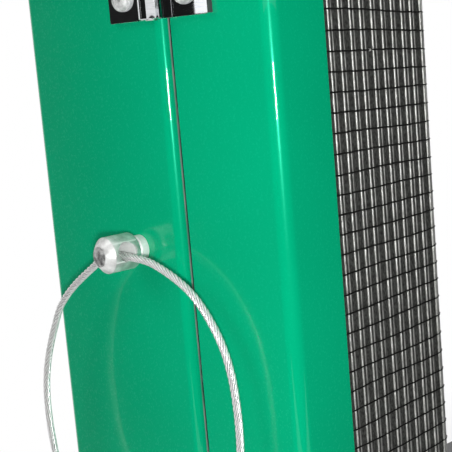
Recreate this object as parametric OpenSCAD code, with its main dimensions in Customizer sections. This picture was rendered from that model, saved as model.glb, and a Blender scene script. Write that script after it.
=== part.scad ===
// Table tennis net clamp: a net post on a table-edge screw clamp.
// The green casing is split. Its left part is fixed, its right part is a wing on two spring hinges
// that grips the side hem of the net. A pull pin with a wire-rope loop holds the post's height.
//
// Frame: X runs across the post with 0 on the pull pin, +Y points to the table, +Z is up.
// The origin lies on the table top, under the middle of the upper jaw's pad.

/* [Post] */
// Width of the post across its front
post_w = 75; // [68:0.5:84]
// Distance from the pull pin to the post's left side
post_left = 33.2; // [32:0.1:36]
// Depth of the post, from its front to the back of the net
post_d = 43.5; // [42:0.5:60]
// Height of the casing's lower edge over the table
casing_z0 = 13.5; // [13.5:0.5:18]
// Height of the casing's upper edge over the table
casing_z1 = 158; // [156:0.5:170]
// Distance from the table's edge to the front of the post
overhang = 152.5; // [120:0.5:160]
// Wall of the steel core tube
core_wall = 1.5; // [1.2:0.1:2]
// Gap between the casing's front and the core tube
casing_gap = 3.8; // [3.6:0.1:5]

/* [Casing] */
// Thickness of the casing's sheet
sheet = 1.2; // [1:0.1:1.5]
// Outer radius of the casing's bends
bend_r = 2; // [1.6:0.1:3]
// Depth of the side flanges
flange_d = 13.2; // [12:0.1:20]
// Right side of the fixed casing, measured from the pull pin
seam_x = 13.2; // [12.6:0.1:13.8]
// Width of the gap between fixed casing and wing
seam_gap = 2.6; // [2:0.1:3]
// Depth of the rolled edge at the seam
rolled_d = 2.4; // [2.2:0.1:3]

/* [Net] */
// Thickness of the net's end
net_t = 1.2; // [0.8:0.1:1.5]
// Regulation height of the net's top edge
net_top = 152.5; // [150:0.5:154]
// Height of the white top band
net_band_h = 14.5; // [10:0.5:15]
// Clearance between the net and the flanges that cover its hems
net_gap = 0.15; // [0.1:0.05:0.3]

/* [Hinges] */
// Place of the hinge axis across the post
hinge_x = 13.3; // [13.2:0.1:14.4]
// Height of the upper hinge's middle
hinge_upper_z = 140.9; // [138:0.1:143]
// Height of the lower hinge's middle
hinge_lower_z = 26; // [26:0.5:34]
// Height of a hinge
hinge_h = 24; // [22:0.5:26]
// Width of one leaf, from the hinge axis
leaf_w = 14.5; // [14:0.1:15.5]
// Thickness of a leaf
leaf_t = 1.2; // [1:0.1:1.3]
// Outer diameter of the knuckles
knuckle_d = 4.6; // [4.4:0.1:4.8]
// Diameter of the hinge pin
hinge_pin_d = 2.4; // [2:0.1:2.6]
// Distance of the leaf screws from the hinge axis
leaf_screw_x = 9.2; // [9:0.1:10]
// Distance of the leaf screws from the hinge's middle
leaf_screw_z = 8.3; // [7:0.1:8.5]

/* [Pull pin] */
// Height of the pull pin over the table
pin_z = 85; // [80:0.5:90]
// Diameter of the pull knob
knob_d = 7.2; // [7:0.1:8]
// Distance from the casing to the knob's front face
knob_reach = 10.2; // [9.8:0.1:12]
// Distance from the casing to the knob's cross hole
cross_hole_y = 5.8; // [5.7:0.1:6.2]
// Diameter of the cross hole
cross_hole_d = 3.8; // [3.7:0.1:3.9]
// Angle by which the cross hole rises to the right
cross_hole_turn = 10; // [8:1:11]
// Diameter of the pin's shaft
shaft_d = 3.2; // [3:0.1:3.4]
// Diameter of the bush's collar in front of the casing
bush_d = 5.4; // [5.2:0.1:6.4]
// Wire of the pin's spring
pin_spring_wire = 0.7; // [0.5:0.05:0.8]

/* [Wire loop] */
// Diameter of the wire rope
cable_d = 1.5; // [1.2:0.1:1.6]
// Length of the crimped ferrule
ferrule_l = 9; // [8:0.5:9]
// Diameter of the crimped ferrule
ferrule_d = 3; // [2.6:0.1:3.6]
// Turn of the hanging loop about an upright line, its right side nearer to the casing
loop_turn = 4; // [0:0.5:5]
// Lean of the hanging loop, its lower end away from the casing
loop_lean = 1; // [0.8:0.1:2]

/* [Table clamp] */
// Width of the flat steel bars
bar_w = 30; // [26:1:34]
// Thickness of the flat steel bars
bar_t = 6; // [5:0.5:6]
// Depth of the upper jaw over the table
jaw_l = 38; // [36:0.5:40]
// Opening of the jaws, measured as the table's thickness
table_t = 25; // [20:0.5:30]
// Depth of the lower jaw below the table top
jaw_depth = 58; // [56:0.5:62]
// Diameter of the clamp screw
screw_d = 8; // [8:1:10]
// Diameter of the pressure pad
pad_d = 24; // [20:0.5:26]
// Diameter of the hand knob over its lobes
hand_knob_d = 38; // [34:1:42]

/* [Hidden] */
$fn = 48;

eps = 0.01;
slide_fit = 0.15;
run_fit = 0.05;

// The post's front stands at post_y. Inside the post, depth is measured back from there.
jaw_mid_y = 20;
post_y = -(overhang + jaw_mid_y);
post_right = post_w - post_left;
wing_x = seam_x + seam_gap;

// Core tube, inside the net's end.
net_x0 = -post_left + sheet + net_gap;
net_x1 = post_right - sheet - net_gap;
core_x0 = net_x0 + net_t;
core_x1 = net_x1 - net_t;
core_y0 = sheet + casing_gap;
core_y1 = post_d - net_t;
core_r = 3;

// Hinges. A leaf's plate starts clear of the other leaf's knuckles.
hinge_y = -knuckle_d / 2 - 0.1;
leaf_inner = 2.9;
post_knuckle_h = 5;
wing_knuckle_h = 3.45;
knuckle_gap = 0.15;
spring_z0 = post_knuckle_h + knuckle_gap + wing_knuckle_h + 0.1;
hinge_wire = 0.6;
hinge_spring_turns = 5.5;
hinge_spring_pitch = 1.1;
hinge_spring_r = 1.75;
leaf_screw_d = 2.5;
leaf_head_d = 4.5;
leaf_head_h = 1.4;

// Pull pin, in depths from the post's front.
collar_l = 1.9;
knob_y = -knob_reach;
knob_back = -2.3;
knob_chamfer = 1.5;
bush_shank_d = 4.8;
bush_end = core_y0 + 0.2;
housing_d = 10.5;
housing_y0 = sheet + 0.1;
chamber_d = 7.4;
seat_t = 1.2;
pin_spring_turns = 5;
pin_spring_r = 2.7;
pin_tip_d = 3;
pin_tip_l = 5;
shaft_in_knob = 3.5;
cross_hole_lip = 0.4;
brake_pad_d = 6;
brake_pad_t = 2.5;
pin_travel = 2.5;

// Mast and its guides. The post slides on the mast between these two heights.
mast_y0 = 22;
brake_y = mast_y0 - run_fit - brake_pad_t;
housing_y1 = brake_y - pin_travel - 0.4;
chamber_y1 = housing_y1 - 1.7;
seat_y = chamber_y1 - seat_t - 0.1;
pin_spring_pitch = (seat_y - bush_end - pin_spring_wire - 0.2) / pin_spring_turns;
mast_t = 6;
mast_w = 26;
height_down = 5;
height_up = 10;
cap_plug_h = 5;
mast_top = casing_z1 - cap_plug_h - height_down - 1;
slot_w = pin_tip_d + 0.4;
slot_z0 = pin_z - height_down - 0.3;
slot_z1 = pin_z + height_up + 0.3;
guide_w = 36;
guide_h = 15;
lower_guide_z = 24;
upper_guide_z = 128;
cap_gap = 0.3;
cap_t = 3.2;
cap_notch_w = 3;
peg_z = casing_z1 + cap_gap + cap_t;
peg_screw_d = 4;
peg_recess_z = 6.8;
foot_l = 30;
foot_t = 4;
foot_screws_y = [15, 35];
foot_screw_d = 4;
guide_screw_x = 12;
guide_screw_d = 3;
guide_screw_l = 9;

// Spacers and studs of the fixed casing, as [x, z] places.
casing_studs = [[-24, 50], [-24, 120], [7, 60], [7, 110]];
bumpers = [[33, 52], [33, 118]];
stud_d = 4;

// Table clamp.
bar_z0 = 2;
bar_top = bar_z0 + bar_t;
web_y = -jaw_mid_y;
lower_arm_top = bar_t - jaw_depth;
boss_d = 20;
boss_h = 6;
edge_pad_t = 1.5;
jaw_bolt_y = [-43, -32];
jaw_bolt_d = 5;
jaw_nut_h = 4;
pad_top = -table_t;
rubber_t = 2;
pad_t = 4;
pad_bottom = pad_top - rubber_t - pad_t;
spigot_d = 6;
clip_t = 0.7;
clip_z = pad_bottom - clip_t - 0.2;
screw_tail_z = -98;
hand_knob_h = 17;
hand_knob_top = -79;

// Wire loop: [x, height from the pull pin], from the ferrule up the right side and down the left.
loop_route = [
    [3.5, -69], [8.8, -67.8], [14.4, -65.6], [19.8, -61.6], [24.6, -55.4], [28, -47.8],
    [29.6, -39.8], [30.2, -32.2], [30, -25.8], [29.2, -20.2], [27.4, -15], [24.2, -10],
    [20.4, -6.2], [15.6, -3.4], [9.6, -1.2], [4.6, -0.6], [0, -0.4], [-3.2, -1], [-5.4, -1.8],
    [-8, -3.4], [-14.8, -7.8], [-20, -12.4], [-23, -17.2], [-25.4, -22], [-27.2, -26.8],
    [-28.2, -31.6], [-28.4, -36.6], [-28, -42.2], [-26.6, -48.8], [-23.4, -55], [-18.4, -60.6],
    [-12, -65.4], [-5.5, -69]];
ferrule_x = -1;
ferrule_z = -69;
rings_per_leg = 2;

green = [0, 0.62, 0.42];
steel = [0.76, 0.77, 0.78];
zinc = [0.62, 0.64, 0.66];
black_steel = [0.16, 0.16, 0.17];
black_plastic = [0.09, 0.09, 0.1];
cap_grey = [0.2, 0.2, 0.21];
white_plastic = [0.85, 0.85, 0.82];
brake_white = [0.8, 0.78, 0.7];
net_black = [0.13, 0.13, 0.12];
net_white = [0.92, 0.92, 0.9];
rubber = [0.12, 0.12, 0.12];

// ---------- helpers ----------

// Moves a post piece from post depths to the part's frame.
module in_post() {
    translate([0, post_y, 0]) children();
}

// Turns a shape drawn along +Z so that it points along +Y, at a place on the post.
module along_y(x, y, z) {
    translate([x, y, z]) rotate([-90, 0, 0]) children();
}

// A quarter ring of sheet metal, its centre at the origin, in the quadrant of -x and -y.
module bend(r, t) {
    intersection() {
        difference() {
            circle(r);
            circle(r - t);
        }
        translate([-r, -r]) square(r);
    }
}

module rounded_rect(x0, y0, x1, y1, r) {
    translate([x0 + r, y0]) square([x1 - x0 - 2 * r, y1 - y0]);
    translate([x0, y0 + r]) square([x1 - x0, y1 - y0 - 2 * r]);
    for (x = [x0 + r, x1 - r], y = [y0 + r, y1 - r])
        translate([x, y]) circle(r);
}

module hex_nut(af, h, bore) {
    difference() {
        cylinder(h = h, d = af / cos(30), $fn = 6);
        translate([0, 0, -1]) cylinder(h = h + 2, d = bore);
    }
}

// A domed screw: its head rises to -z from the origin, its shank runs to +z.
module dome_screw(head_d, head_h, shank_d, shank_l) {
    sphere_r = (head_d * head_d / 4 + head_h * head_h) / (2 * head_h);
    intersection() {
        translate([0, 0, sphere_r - head_h]) sphere(sphere_r);
        translate([0, 0, -head_h]) cylinder(h = head_h, d = head_d + 1);
    }
    cylinder(h = shank_l, d = shank_d);
}

// A socket screw with its head to -z.
module socket_screw(head_d, head_h, shank_d, shank_l, key) {
    difference() {
        translate([0, 0, -head_h]) cylinder(h = head_h, d = head_d);
        translate([0, 0, -head_h - 1]) cylinder(h = head_h * 0.55 + 1, d = key / cos(30), $fn = 6);
    }
    cylinder(h = shank_l, d = shank_d);
}

// A helical spring along +Z as one tube of 6 sides, with 8 rings to a turn.
module coil(r, wire, turns, pitch) {
    sides = 6;
    rings = round(turns * 8);
    lift = atan(pitch / (2 * PI * r));
    points = [for (i = [0:rings], k = [0:sides - 1])
        let (a = i * turns * 360 / rings, b = k * 360 / sides,
             out = wire / 2 * cos(b), side = wire / 2 * sin(b))
        [(r + out) * cos(a) + side * sin(lift) * sin(a),
         (r + out) * sin(a) - side * sin(lift) * cos(a),
         i * turns * pitch / rings + side * cos(lift)]];
    polyhedron(points, tube_faces(rings, sides));
}

// Triangles of a tube with `rings` steps: its skin and both end caps.
function tube_faces(rings, sides) = concat(
    [for (k = [1:sides - 2]) [0, k, k + 1]],
    [for (k = [1:sides - 2]) let (e = rings * sides) [e, e + k + 1, e + k]],
    [for (i = [0:rings - 1], k = [0:sides - 1])
        let (a = i * sides + k, b = i * sides + (k + 1) % sides) [a, a + sides, b]],
    [for (i = [0:rings - 1], k = [0:sides - 1])
        let (a = i * sides + k, b = i * sides + (k + 1) % sides) [b, a + sides, b + sides]]);

// Least gap between the turns of such a spring, over the points half a turn or more apart.
function coil_gap(r, wire, turns, pitch) =
    let (rings = round(turns * 8),
         mids = [for (i = [0:rings]) let (a = i * turns * 360 / rings)
             [r * cos(a), r * sin(a), i * turns * pitch / rings]])
    min([for (i = [0:rings - 4], j = [i + 4:rings]) norm(mids[i] - mids[j])]) - wire;

echo("least gap in a hinge spring",
    coil_gap(hinge_spring_r, hinge_wire, hinge_spring_turns, hinge_spring_pitch));
echo("least gap in the pin's spring",
    coil_gap(pin_spring_r, pin_spring_wire, pin_spring_turns, pin_spring_pitch));

// ---------- table clamp ----------

module top_bar() {
    color(black_steel) translate([0, 0, bar_z0]) linear_extrude(bar_t) difference() {
        rounded_rect(-bar_w / 2, post_y + 6, bar_w / 2, jaw_l - jaw_mid_y, 5);
        for (y = foot_screws_y) translate([0, post_y + y]) circle(d = foot_screw_d);
        for (y = jaw_bolt_y) translate([0, y]) circle(d = jaw_bolt_d + 0.2);
    }
}

module lower_jaw() {
    color(black_steel) difference() {
        union() {
            translate([-bar_w / 2, web_y - 30, bar_z0 - bar_t]) cube([bar_w, 30, bar_t]);
            translate([-bar_w / 2, web_y - bar_t, lower_arm_top - bar_t])
                cube([bar_w, bar_t, bar_z0 - lower_arm_top + bar_t]);
            translate([0, 0, lower_arm_top - bar_t]) linear_extrude(bar_t) {
                translate([-bar_w / 2, web_y - bar_t]) square([bar_w, bar_t - web_y]);
                circle(d = bar_w);
            }
            translate([0, 0, lower_arm_top - bar_t - boss_h]) cylinder(h = boss_h, d = boss_d);
        }
        translate([0, 0, lower_arm_top - 30]) cylinder(h = 40, d = screw_d);
        for (y = jaw_bolt_y) translate([0, y, -20]) cylinder(h = 30, d = jaw_bolt_d + 0.2);
    }
}

module jaw_bolts() {
    color(zinc) for (y = jaw_bolt_y)
        translate([0, y, bar_top]) rotate([180, 0, 0])
            socket_screw(9, 2.8, jaw_bolt_d, 2 * bar_t + jaw_nut_h + 1, 3);
}

module jaw_nuts() {
    color(zinc) for (y = jaw_bolt_y)
        translate([0, y, bar_z0 - bar_t - jaw_nut_h]) hex_nut(8, jaw_nut_h, jaw_bolt_d);
}

module jaw_pad() {
    color(rubber) linear_extrude(bar_z0)
        rounded_rect(-bar_w / 2 + 1, web_y + 2, bar_w / 2 - 1, jaw_l - jaw_mid_y - 1, 3);
}

module edge_pad() {
    color(rubber) translate([-bar_w / 2 + 3, web_y, -36]) cube([bar_w - 6, edge_pad_t, 33]);
}

// Upright bar on a foot. The pull pin's tip rides in its slot.
module mast() {
    color(zinc) in_post() difference() {
        union() {
            translate([-mast_w / 2, mast_y0, bar_top]) cube([mast_w, mast_t, mast_top - bar_top]);
            translate([-mast_w / 2, mast_y0 + mast_t / 2 - foot_l / 2, bar_top])
                cube([mast_w, foot_l, foot_t]);
        }
        for (z = [slot_z0, slot_z1])
            along_y(0, mast_y0 - 1, z) cylinder(h = mast_t + 2, d = slot_w);
        translate([-slot_w / 2, mast_y0 - 1, slot_z0]) cube([slot_w, mast_t + 2, slot_z1 - slot_z0]);
        for (y = foot_screws_y) translate([0, y, 0]) cylinder(h = 20, d = foot_screw_d + 0.3);
    }
}

module mast_screws() {
    color(zinc) in_post() for (y = foot_screws_y)
        translate([0, y, bar_top + foot_t]) rotate([180, 0, 0])
            socket_screw(7, 2.6, foot_screw_d, foot_t + bar_t, 2.5);
}

// ---------- post ----------

module core_tube() {
    color(zinc) in_post() difference() {
        translate([0, 0, casing_z0]) linear_extrude(casing_z1 - casing_z0) difference() {
            rounded_rect(core_x0, core_y0, core_x1, core_y1, core_r - net_t);
            translate([core_x0 + core_wall, core_y0 + core_wall])
                square([core_x1 - core_x0 - 2 * core_wall, core_y1 - core_y0 - 2 * core_wall]);
        }
        along_y(0, core_y0 - 1, pin_z) cylinder(h = core_wall + 2, d = housing_d + 0.5);
        for (p = casing_studs)
            along_y(p[0], core_y0 - 1, p[1]) cylinder(h = core_wall + 2, d = stud_d + 0.2);
        for (x = [-guide_screw_x, guide_screw_x], z = [lower_guide_z, upper_guide_z])
            along_y(x, core_y0 - 1, z + guide_h / 2)
                cylinder(h = core_wall + 2, d = guide_screw_d + 0.2);
    }
}

// Plastic block in the core with a window for the mast.
module guide_block(z) {
    color(white_plastic) in_post() difference() {
        translate([-guide_w / 2, core_y0 + core_wall, z])
            cube([guide_w, core_y1 - core_y0 - 2 * core_wall, guide_h]);
        translate([-mast_w / 2 - slide_fit, mast_y0 - slide_fit, z - 1])
            cube([mast_w + 2 * slide_fit, mast_t + 2 * slide_fit, guide_h + 2]);
        for (x = [-guide_screw_x, guide_screw_x])
            along_y(x, core_y0, z + guide_h / 2) cylinder(h = guide_screw_l + 1, d = guide_screw_d);
    }
}

module lower_guide() {
    guide_block(lower_guide_z);
}

module upper_guide() {
    guide_block(upper_guide_z);
}

module guide_screws() {
    color(zinc) in_post()
        for (x = [-guide_screw_x, guide_screw_x], z = [lower_guide_z, upper_guide_z])
            along_y(x, core_y0, z + guide_h / 2)
                socket_screw(5.5, 2, guide_screw_d, guide_screw_l, 2);
}

// Fixed left part of the casing: side flange, front and rolled edge at the seam.
module fixed_casing() {
    color(green) in_post() difference() {
        union() {
            translate([0, 0, casing_z0]) linear_extrude(casing_z1 - casing_z0) {
                translate([-post_left, bend_r]) square([sheet, flange_d - bend_r]);
                translate([-post_left + bend_r, bend_r]) bend(bend_r, sheet);
                translate([-post_left + bend_r, 0])
                    square([post_left + seam_x - 2 * bend_r, sheet]);
                translate([seam_x - bend_r, bend_r]) mirror([1, 0]) bend(bend_r, sheet);
                translate([seam_x - sheet, bend_r]) square([sheet, rolled_d - bend_r]);
            }
            for (p = casing_studs)
                along_y(p[0], sheet - 0.2, p[1]) cylinder(h = casing_gap + 6.5, d = stud_d);
        }
        along_y(0, -1, pin_z) cylinder(h = sheet + 2, d = bush_shank_d);
        leaf_holes(-1);
    }
}

// Holes for the leaf screws on one side of the hinge axis.
module leaf_holes(side) {
    for (z_mid = [hinge_upper_z, hinge_lower_z])
        at_leaf_screws(z_mid, side) translate([0, 0, -2]) cylinder(h = 6, d = leaf_screw_d + 0.1);
}

// Places children on the casing's face at the two screws of one leaf, pointing into the post.
module at_leaf_screws(z_mid, side) {
    for (z = [-leaf_screw_z, leaf_screw_z])
        along_y(hinge_x + side * leaf_screw_x, 0, z_mid + z) children();
}

module casing_spacers() {
    color(zinc) in_post() for (p = casing_studs) along_y(p[0], sheet, p[1]) difference() {
        cylinder(h = casing_gap, d = 8);
        translate([0, 0, -1]) cylinder(h = casing_gap + 2, d = stud_d);
    }
}

module casing_nuts() {
    color(zinc) in_post() for (p = casing_studs)
        along_y(p[0], core_y0 + core_wall, p[1]) hex_nut(7, 3.2, stud_d);
}

module wing_bumpers() {
    color(rubber) in_post() for (p = bumpers)
        along_y(p[0], sheet + 0.1, p[1]) cylinder(h = casing_gap - 0.1, d = 9);
}

// Cap over core and net, with a plug and a notch for the net's cord.
module top_cap() {
    color(black_plastic) in_post() difference() {
        union() {
            translate([0, 0, casing_z1 + cap_gap]) linear_extrude(cap_t)
                rounded_rect(-post_left, 0, post_right, post_d, 3);
            translate([0, 0, casing_z1 - cap_plug_h]) linear_extrude(cap_plug_h + cap_gap + eps)
                rounded_rect(core_x0 + core_wall + 0.1, core_y0 + core_wall + 0.1,
                    core_x1 - core_wall - 0.1, core_y1 - core_wall - 0.1, 1);
        }
        translate([-cap_notch_w / 2, post_d - 4, casing_z1 - 1]) cube([cap_notch_w, 6, cap_t + 3]);
        translate([0, post_d / 2, casing_z1 - 10]) cylinder(h = 20, d = peg_screw_d);
    }
}

// Waisted peg that the net's cord is tied round.
module cord_peg() {
    color(black_plastic) in_post() translate([0, post_d / 2, peg_z]) difference() {
        rotate_extrude()
            polygon([[0, 0], [6, 0], [6, 1.5], [3.2, 3.5], [3.2, 6], [5.5, 8], [5.5, 9.5], [0, 9.5]]);
        translate([0, 0, -1]) cylinder(h = 12, d = peg_screw_d);
        translate([0, 0, peg_recess_z]) cylinder(h = 3, d = 7.2);
    }
}

module cord_peg_screw() {
    color(zinc) in_post() translate([0, post_d / 2, peg_z + peg_recess_z]) rotate([180, 0, 0])
        socket_screw(7, 2.4, peg_screw_d, 14, 2.5);
}

// Plan of the net's end: both sides and the back of the core, open at the front.
module net_plan() {
    difference() {
        rounded_rect(net_x0, core_y0, net_x1, post_d, core_r);
        rounded_rect(core_x0, core_y0, core_x1, core_y1, core_r - net_t);
        translate([net_x0 - 1, core_y0 - 1]) square([net_x1 - net_x0 + 2, 1.4 + core_r]);
    }
}

module net_end() {
    color(net_black) in_post() translate([0, 0, casing_z0 + 1])
        linear_extrude(net_top - net_band_h - casing_z0 - 1) net_plan();
}

module net_band() {
    color(net_white) in_post() translate([0, 0, net_top - net_band_h])
        linear_extrude(net_band_h) net_plan();
}

// ---------- hinges ----------

// A leaf: plate, and knuckles at the given [start, height] places over the hinge's lower end.
module leaf(z_mid, side, knuckles, bore) {
    color(steel) in_post() difference() {
        union() {
            translate([hinge_x + (side > 0 ? leaf_inner : -leaf_w), -leaf_t, z_mid - hinge_h / 2])
                cube([leaf_w - leaf_inner, leaf_t, hinge_h]);
            for (k = knuckles) translate([hinge_x, 0, z_mid - hinge_h / 2 + k[0]]) {
                translate([0, hinge_y, 0]) cylinder(h = k[1], d = knuckle_d);
                translate([side > 0 ? 0 : -leaf_inner - 0.8, -leaf_t, 0])
                    cube([leaf_inner + 0.8, leaf_t, k[1]]);
            }
        }
        translate([hinge_x, hinge_y, z_mid - hinge_h]) cylinder(h = 2 * hinge_h, d = bore);
        at_leaf_screws(z_mid, side) translate([0, 0, -3]) cylinder(h = 6, d = leaf_screw_d + 0.1);
    }
}

post_knuckles = [[0, post_knuckle_h], [hinge_h - post_knuckle_h, post_knuckle_h]];
wing_knuckles = [[post_knuckle_h + knuckle_gap, wing_knuckle_h],
    [hinge_h - post_knuckle_h - knuckle_gap - wing_knuckle_h, wing_knuckle_h]];

module upper_post_leaf() {
    leaf(hinge_upper_z, -1, post_knuckles, hinge_pin_d);
}

module lower_post_leaf() {
    leaf(hinge_lower_z, -1, post_knuckles, hinge_pin_d);
}

module upper_wing_leaf() {
    leaf(hinge_upper_z, 1, wing_knuckles, hinge_pin_d + 2 * run_fit);
}

module lower_wing_leaf() {
    leaf(hinge_lower_z, 1, wing_knuckles, hinge_pin_d + 2 * run_fit);
}

module hinge_pin(z_mid) {
    color(steel) in_post() translate([hinge_x, hinge_y, z_mid - hinge_h / 2 - 0.3])
        cylinder(h = hinge_h + 0.6, d = hinge_pin_d);
}

module upper_hinge_pin() {
    hinge_pin(hinge_upper_z);
}

module lower_hinge_pin() {
    hinge_pin(hinge_lower_z);
}

// Torsion spring round the pin, between the wing's two knuckles.
module hinge_spring(z_mid) {
    color(zinc) in_post() translate([hinge_x, hinge_y, z_mid - hinge_spring_turns * hinge_spring_pitch / 2])
        coil(hinge_spring_r, hinge_wire, hinge_spring_turns, hinge_spring_pitch);
}

module upper_hinge_spring() {
    hinge_spring(hinge_upper_z);
}

module lower_hinge_spring() {
    hinge_spring(hinge_lower_z);
}

module leaf_screws(side) {
    color(steel) in_post() for (z_mid = [hinge_upper_z, hinge_lower_z])
        at_leaf_screws(z_mid, side) translate([0, 0, -leaf_t])
            dome_screw(leaf_head_d, leaf_head_h, leaf_screw_d, leaf_t + sheet + 2.2);
}

module leaf_nuts(side) {
    color(zinc) in_post() for (z_mid = [hinge_upper_z, hinge_lower_z])
        at_leaf_screws(z_mid, side) translate([0, 0, sheet]) hex_nut(5, 2, leaf_screw_d);
}

module post_leaf_screws() {
    leaf_screws(-1);
}

module post_leaf_nuts() {
    leaf_nuts(-1);
}

module wing_leaf_screws() {
    leaf_screws(1);
}

module wing_leaf_nuts() {
    leaf_nuts(1);
}

// Right part of the casing: front and the flange that grips the net.
module wing_casing() {
    color(green) in_post() difference() {
        translate([0, 0, casing_z0]) linear_extrude(casing_z1 - casing_z0) {
            translate([wing_x, 0]) square([post_right - bend_r - wing_x, sheet]);
            translate([post_right - bend_r, bend_r]) mirror([1, 0]) bend(bend_r, sheet);
            translate([post_right - sheet, bend_r]) square([sheet, flange_d - bend_r]);
        }
        leaf_holes(1);
    }
}

// ---------- pull pin ----------

module pin_bush() {
    color(steel) in_post() along_y(0, 0, pin_z) difference() {
        union() {
            translate([0, 0, -collar_l]) cylinder(h = collar_l, d = bush_d);
            cylinder(h = bush_end, d = bush_shank_d);
        }
        translate([0, 0, -collar_l - 1])
            cylinder(h = bush_end + collar_l + 2, d = shaft_d + 2 * run_fit);
    }
}

module pin_housing() {
    color(zinc) in_post() along_y(0, 0, pin_z) difference() {
        translate([0, 0, housing_y0]) cylinder(h = housing_y1 - housing_y0, d = housing_d);
        translate([0, 0, housing_y0 - 1]) cylinder(h = bush_end - housing_y0 + 1, d = bush_shank_d);
        translate([0, 0, bush_end]) cylinder(h = chamber_y1 - bush_end, d = chamber_d);
        cylinder(h = housing_y1 + 1, d = shaft_d + 2 * run_fit);
    }
}

// Knob with a wide chamfer, a cross hole for the wire rope and a bore for the shaft.
module pull_knob() {
    r = knob_d / 2;
    color(steel) in_post() difference() {
        along_y(0, 0, pin_z) rotate_extrude()
            polygon([[0, knob_y], [r - knob_chamfer, knob_y], [r, knob_y + knob_chamfer],
                [r, knob_back - 0.4], [r - 0.4, knob_back], [0, knob_back]]);
        along_y(0, -shaft_in_knob, pin_z) cylinder(h = shaft_in_knob, d = shaft_d);
        translate([0, -cross_hole_y, pin_z]) rotate([0, 90 - cross_hole_turn, 0]) {
            translate([0, 0, -knob_d]) cylinder(h = 2 * knob_d, d = cross_hole_d);
            for (s = [0, 1]) mirror([0, 0, s])
                translate([0, 0, r - 2 * cross_hole_lip])
                    cylinder(h = 3 * cross_hole_lip, r1 = cross_hole_d / 2 - cross_hole_lip / 2,
                        r2 = cross_hole_d / 2 + cross_hole_lip);
        }
    }
}

module pin_shaft() {
    color(steel) in_post() along_y(0, 0, pin_z) {
        translate([0, 0, -shaft_in_knob]) cylinder(h = brake_y + shaft_in_knob, d = shaft_d);
        translate([0, 0, brake_y - eps]) cylinder(h = brake_pad_t + pin_tip_l, d = pin_tip_d);
    }
}

// Ring on the shaft that the spring pushes against.
module spring_seat() {
    color(zinc) in_post() along_y(0, seat_y, pin_z) difference() {
        cylinder(h = seat_t, d = chamber_d - 0.4);
        translate([0, 0, -1]) cylinder(h = seat_t + 2, d = shaft_d);
    }
}

module pin_spring() {
    color(zinc) in_post() along_y(0, bush_end + pin_spring_wire / 2 + 0.1, pin_z)
        coil(pin_spring_r, pin_spring_wire, pin_spring_turns, pin_spring_pitch);
}

// Soft pad that presses on the mast.
module brake_pad() {
    color(brake_white) in_post() along_y(0, brake_y, pin_z) difference() {
        cylinder(h = brake_pad_t, d = brake_pad_d);
        translate([0, 0, -1]) cylinder(h = brake_pad_t + 2, d = pin_tip_d);
    }
}

// ---------- wire loop ----------

// Catmull-Rom point between b and c, with neighbours a and d.
function blend(a, b, c, d, t) =
    0.5 * (2 * b + (c - a) * t + (2 * a - 5 * b + 4 * c - d) * t * t
        + (3 * b - a - 3 * c + d) * t * t * t);

function route_point(p, i) =
    i < 0 ? 2 * p[0] - p[1] : i >= len(p) ? 2 * p[len(p) - 1] - p[len(p) - 2] : p[i];

function smooth(p, steps) = concat(
    [for (i = [0:len(p) - 2], s = [0:steps - 1])
        blend(route_point(p, i - 1), p[i], p[i + 1], route_point(p, i + 2), s / steps)],
    [p[len(p) - 1]]);

// Tube of 8 sides along a flat route in the X-Z plane.
module flat_tube(route, d) {
    sides = 8;
    last = len(route) - 1;
    points = [for (i = [0:last], k = [0:sides - 1])
        let (along = i == 0 || i == last ? [1, 0]
                 : (route[i + 1] - route[i - 1]) / norm(route[i + 1] - route[i - 1]),
             dir = i == 0 ? [1, 0] : i == last ? [1, 0] : along,
             b = k * 360 / sides, out = d / 2 * cos(b), side = d / 2 * sin(b))
        [route[i][0] - dir[1] * out, side, route[i][1] + dir[0] * out]];
    polyhedron(points, tube_faces(last, sides));
}

module wire_loop() {
    color(steel) in_post() translate([0, -cross_hole_y, pin_z]) rotate([-loop_lean, 0, loop_turn])
        flat_tube(smooth(loop_route, rings_per_leg), cable_d);
}

module loop_ferrule() {
    color(steel) in_post() translate([0, -cross_hole_y, pin_z]) rotate([-loop_lean, 0, loop_turn])
        translate([ferrule_x - ferrule_l / 2, 0, ferrule_z])
            rotate([0, 90, 0]) cylinder(h = ferrule_l, d = ferrule_d);
}

// ---------- clamp screw ----------

module pressure_pad() {
    color(zinc) translate([0, 0, pad_bottom]) difference() {
        union() {
            translate([0, 0, 1]) cylinder(h = pad_t - 1, d = pad_d);
            cylinder(h = 1, d1 = pad_d - 2, d2 = pad_d);
        }
        translate([0, 0, -1]) cylinder(h = 3.5, d = spigot_d + 2 * run_fit);
    }
}

module pad_rubber() {
    color(rubber) translate([0, 0, pad_top - rubber_t]) cylinder(h = rubber_t, d = pad_d - 1);
}

// Spring clip under the pad, in a groove of the screw's tip.
module pad_clip() {
    color(steel) translate([0, 0, clip_z]) difference() {
        cylinder(h = clip_t, d = spigot_d + 3);
        translate([0, 0, -1]) cylinder(h = 3, d = spigot_d - 1);
        translate([-1, 0, -1]) cube([2, 6, 3]);
    }
}

module clamp_screw() {
    tip_z = pad_bottom + 2.4;
    groove_z0 = clip_z - 0.05;
    groove_z1 = clip_z + clip_t + 0.05;
    shoulder_z = groove_z0 - 1.6;
    color(steel) {
        translate([0, 0, screw_tail_z])
            cylinder(h = shoulder_z - screw_tail_z, d = screw_d - 2 * run_fit);
        translate([0, 0, shoulder_z]) cylinder(h = groove_z0 - shoulder_z, d = spigot_d);
        translate([0, 0, groove_z0 - eps])
            cylinder(h = groove_z1 - groove_z0 + 2 * eps, d = spigot_d - 1);
        translate([0, 0, groove_z1]) cylinder(h = tip_z - groove_z1, d = spigot_d);
    }
}

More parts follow.
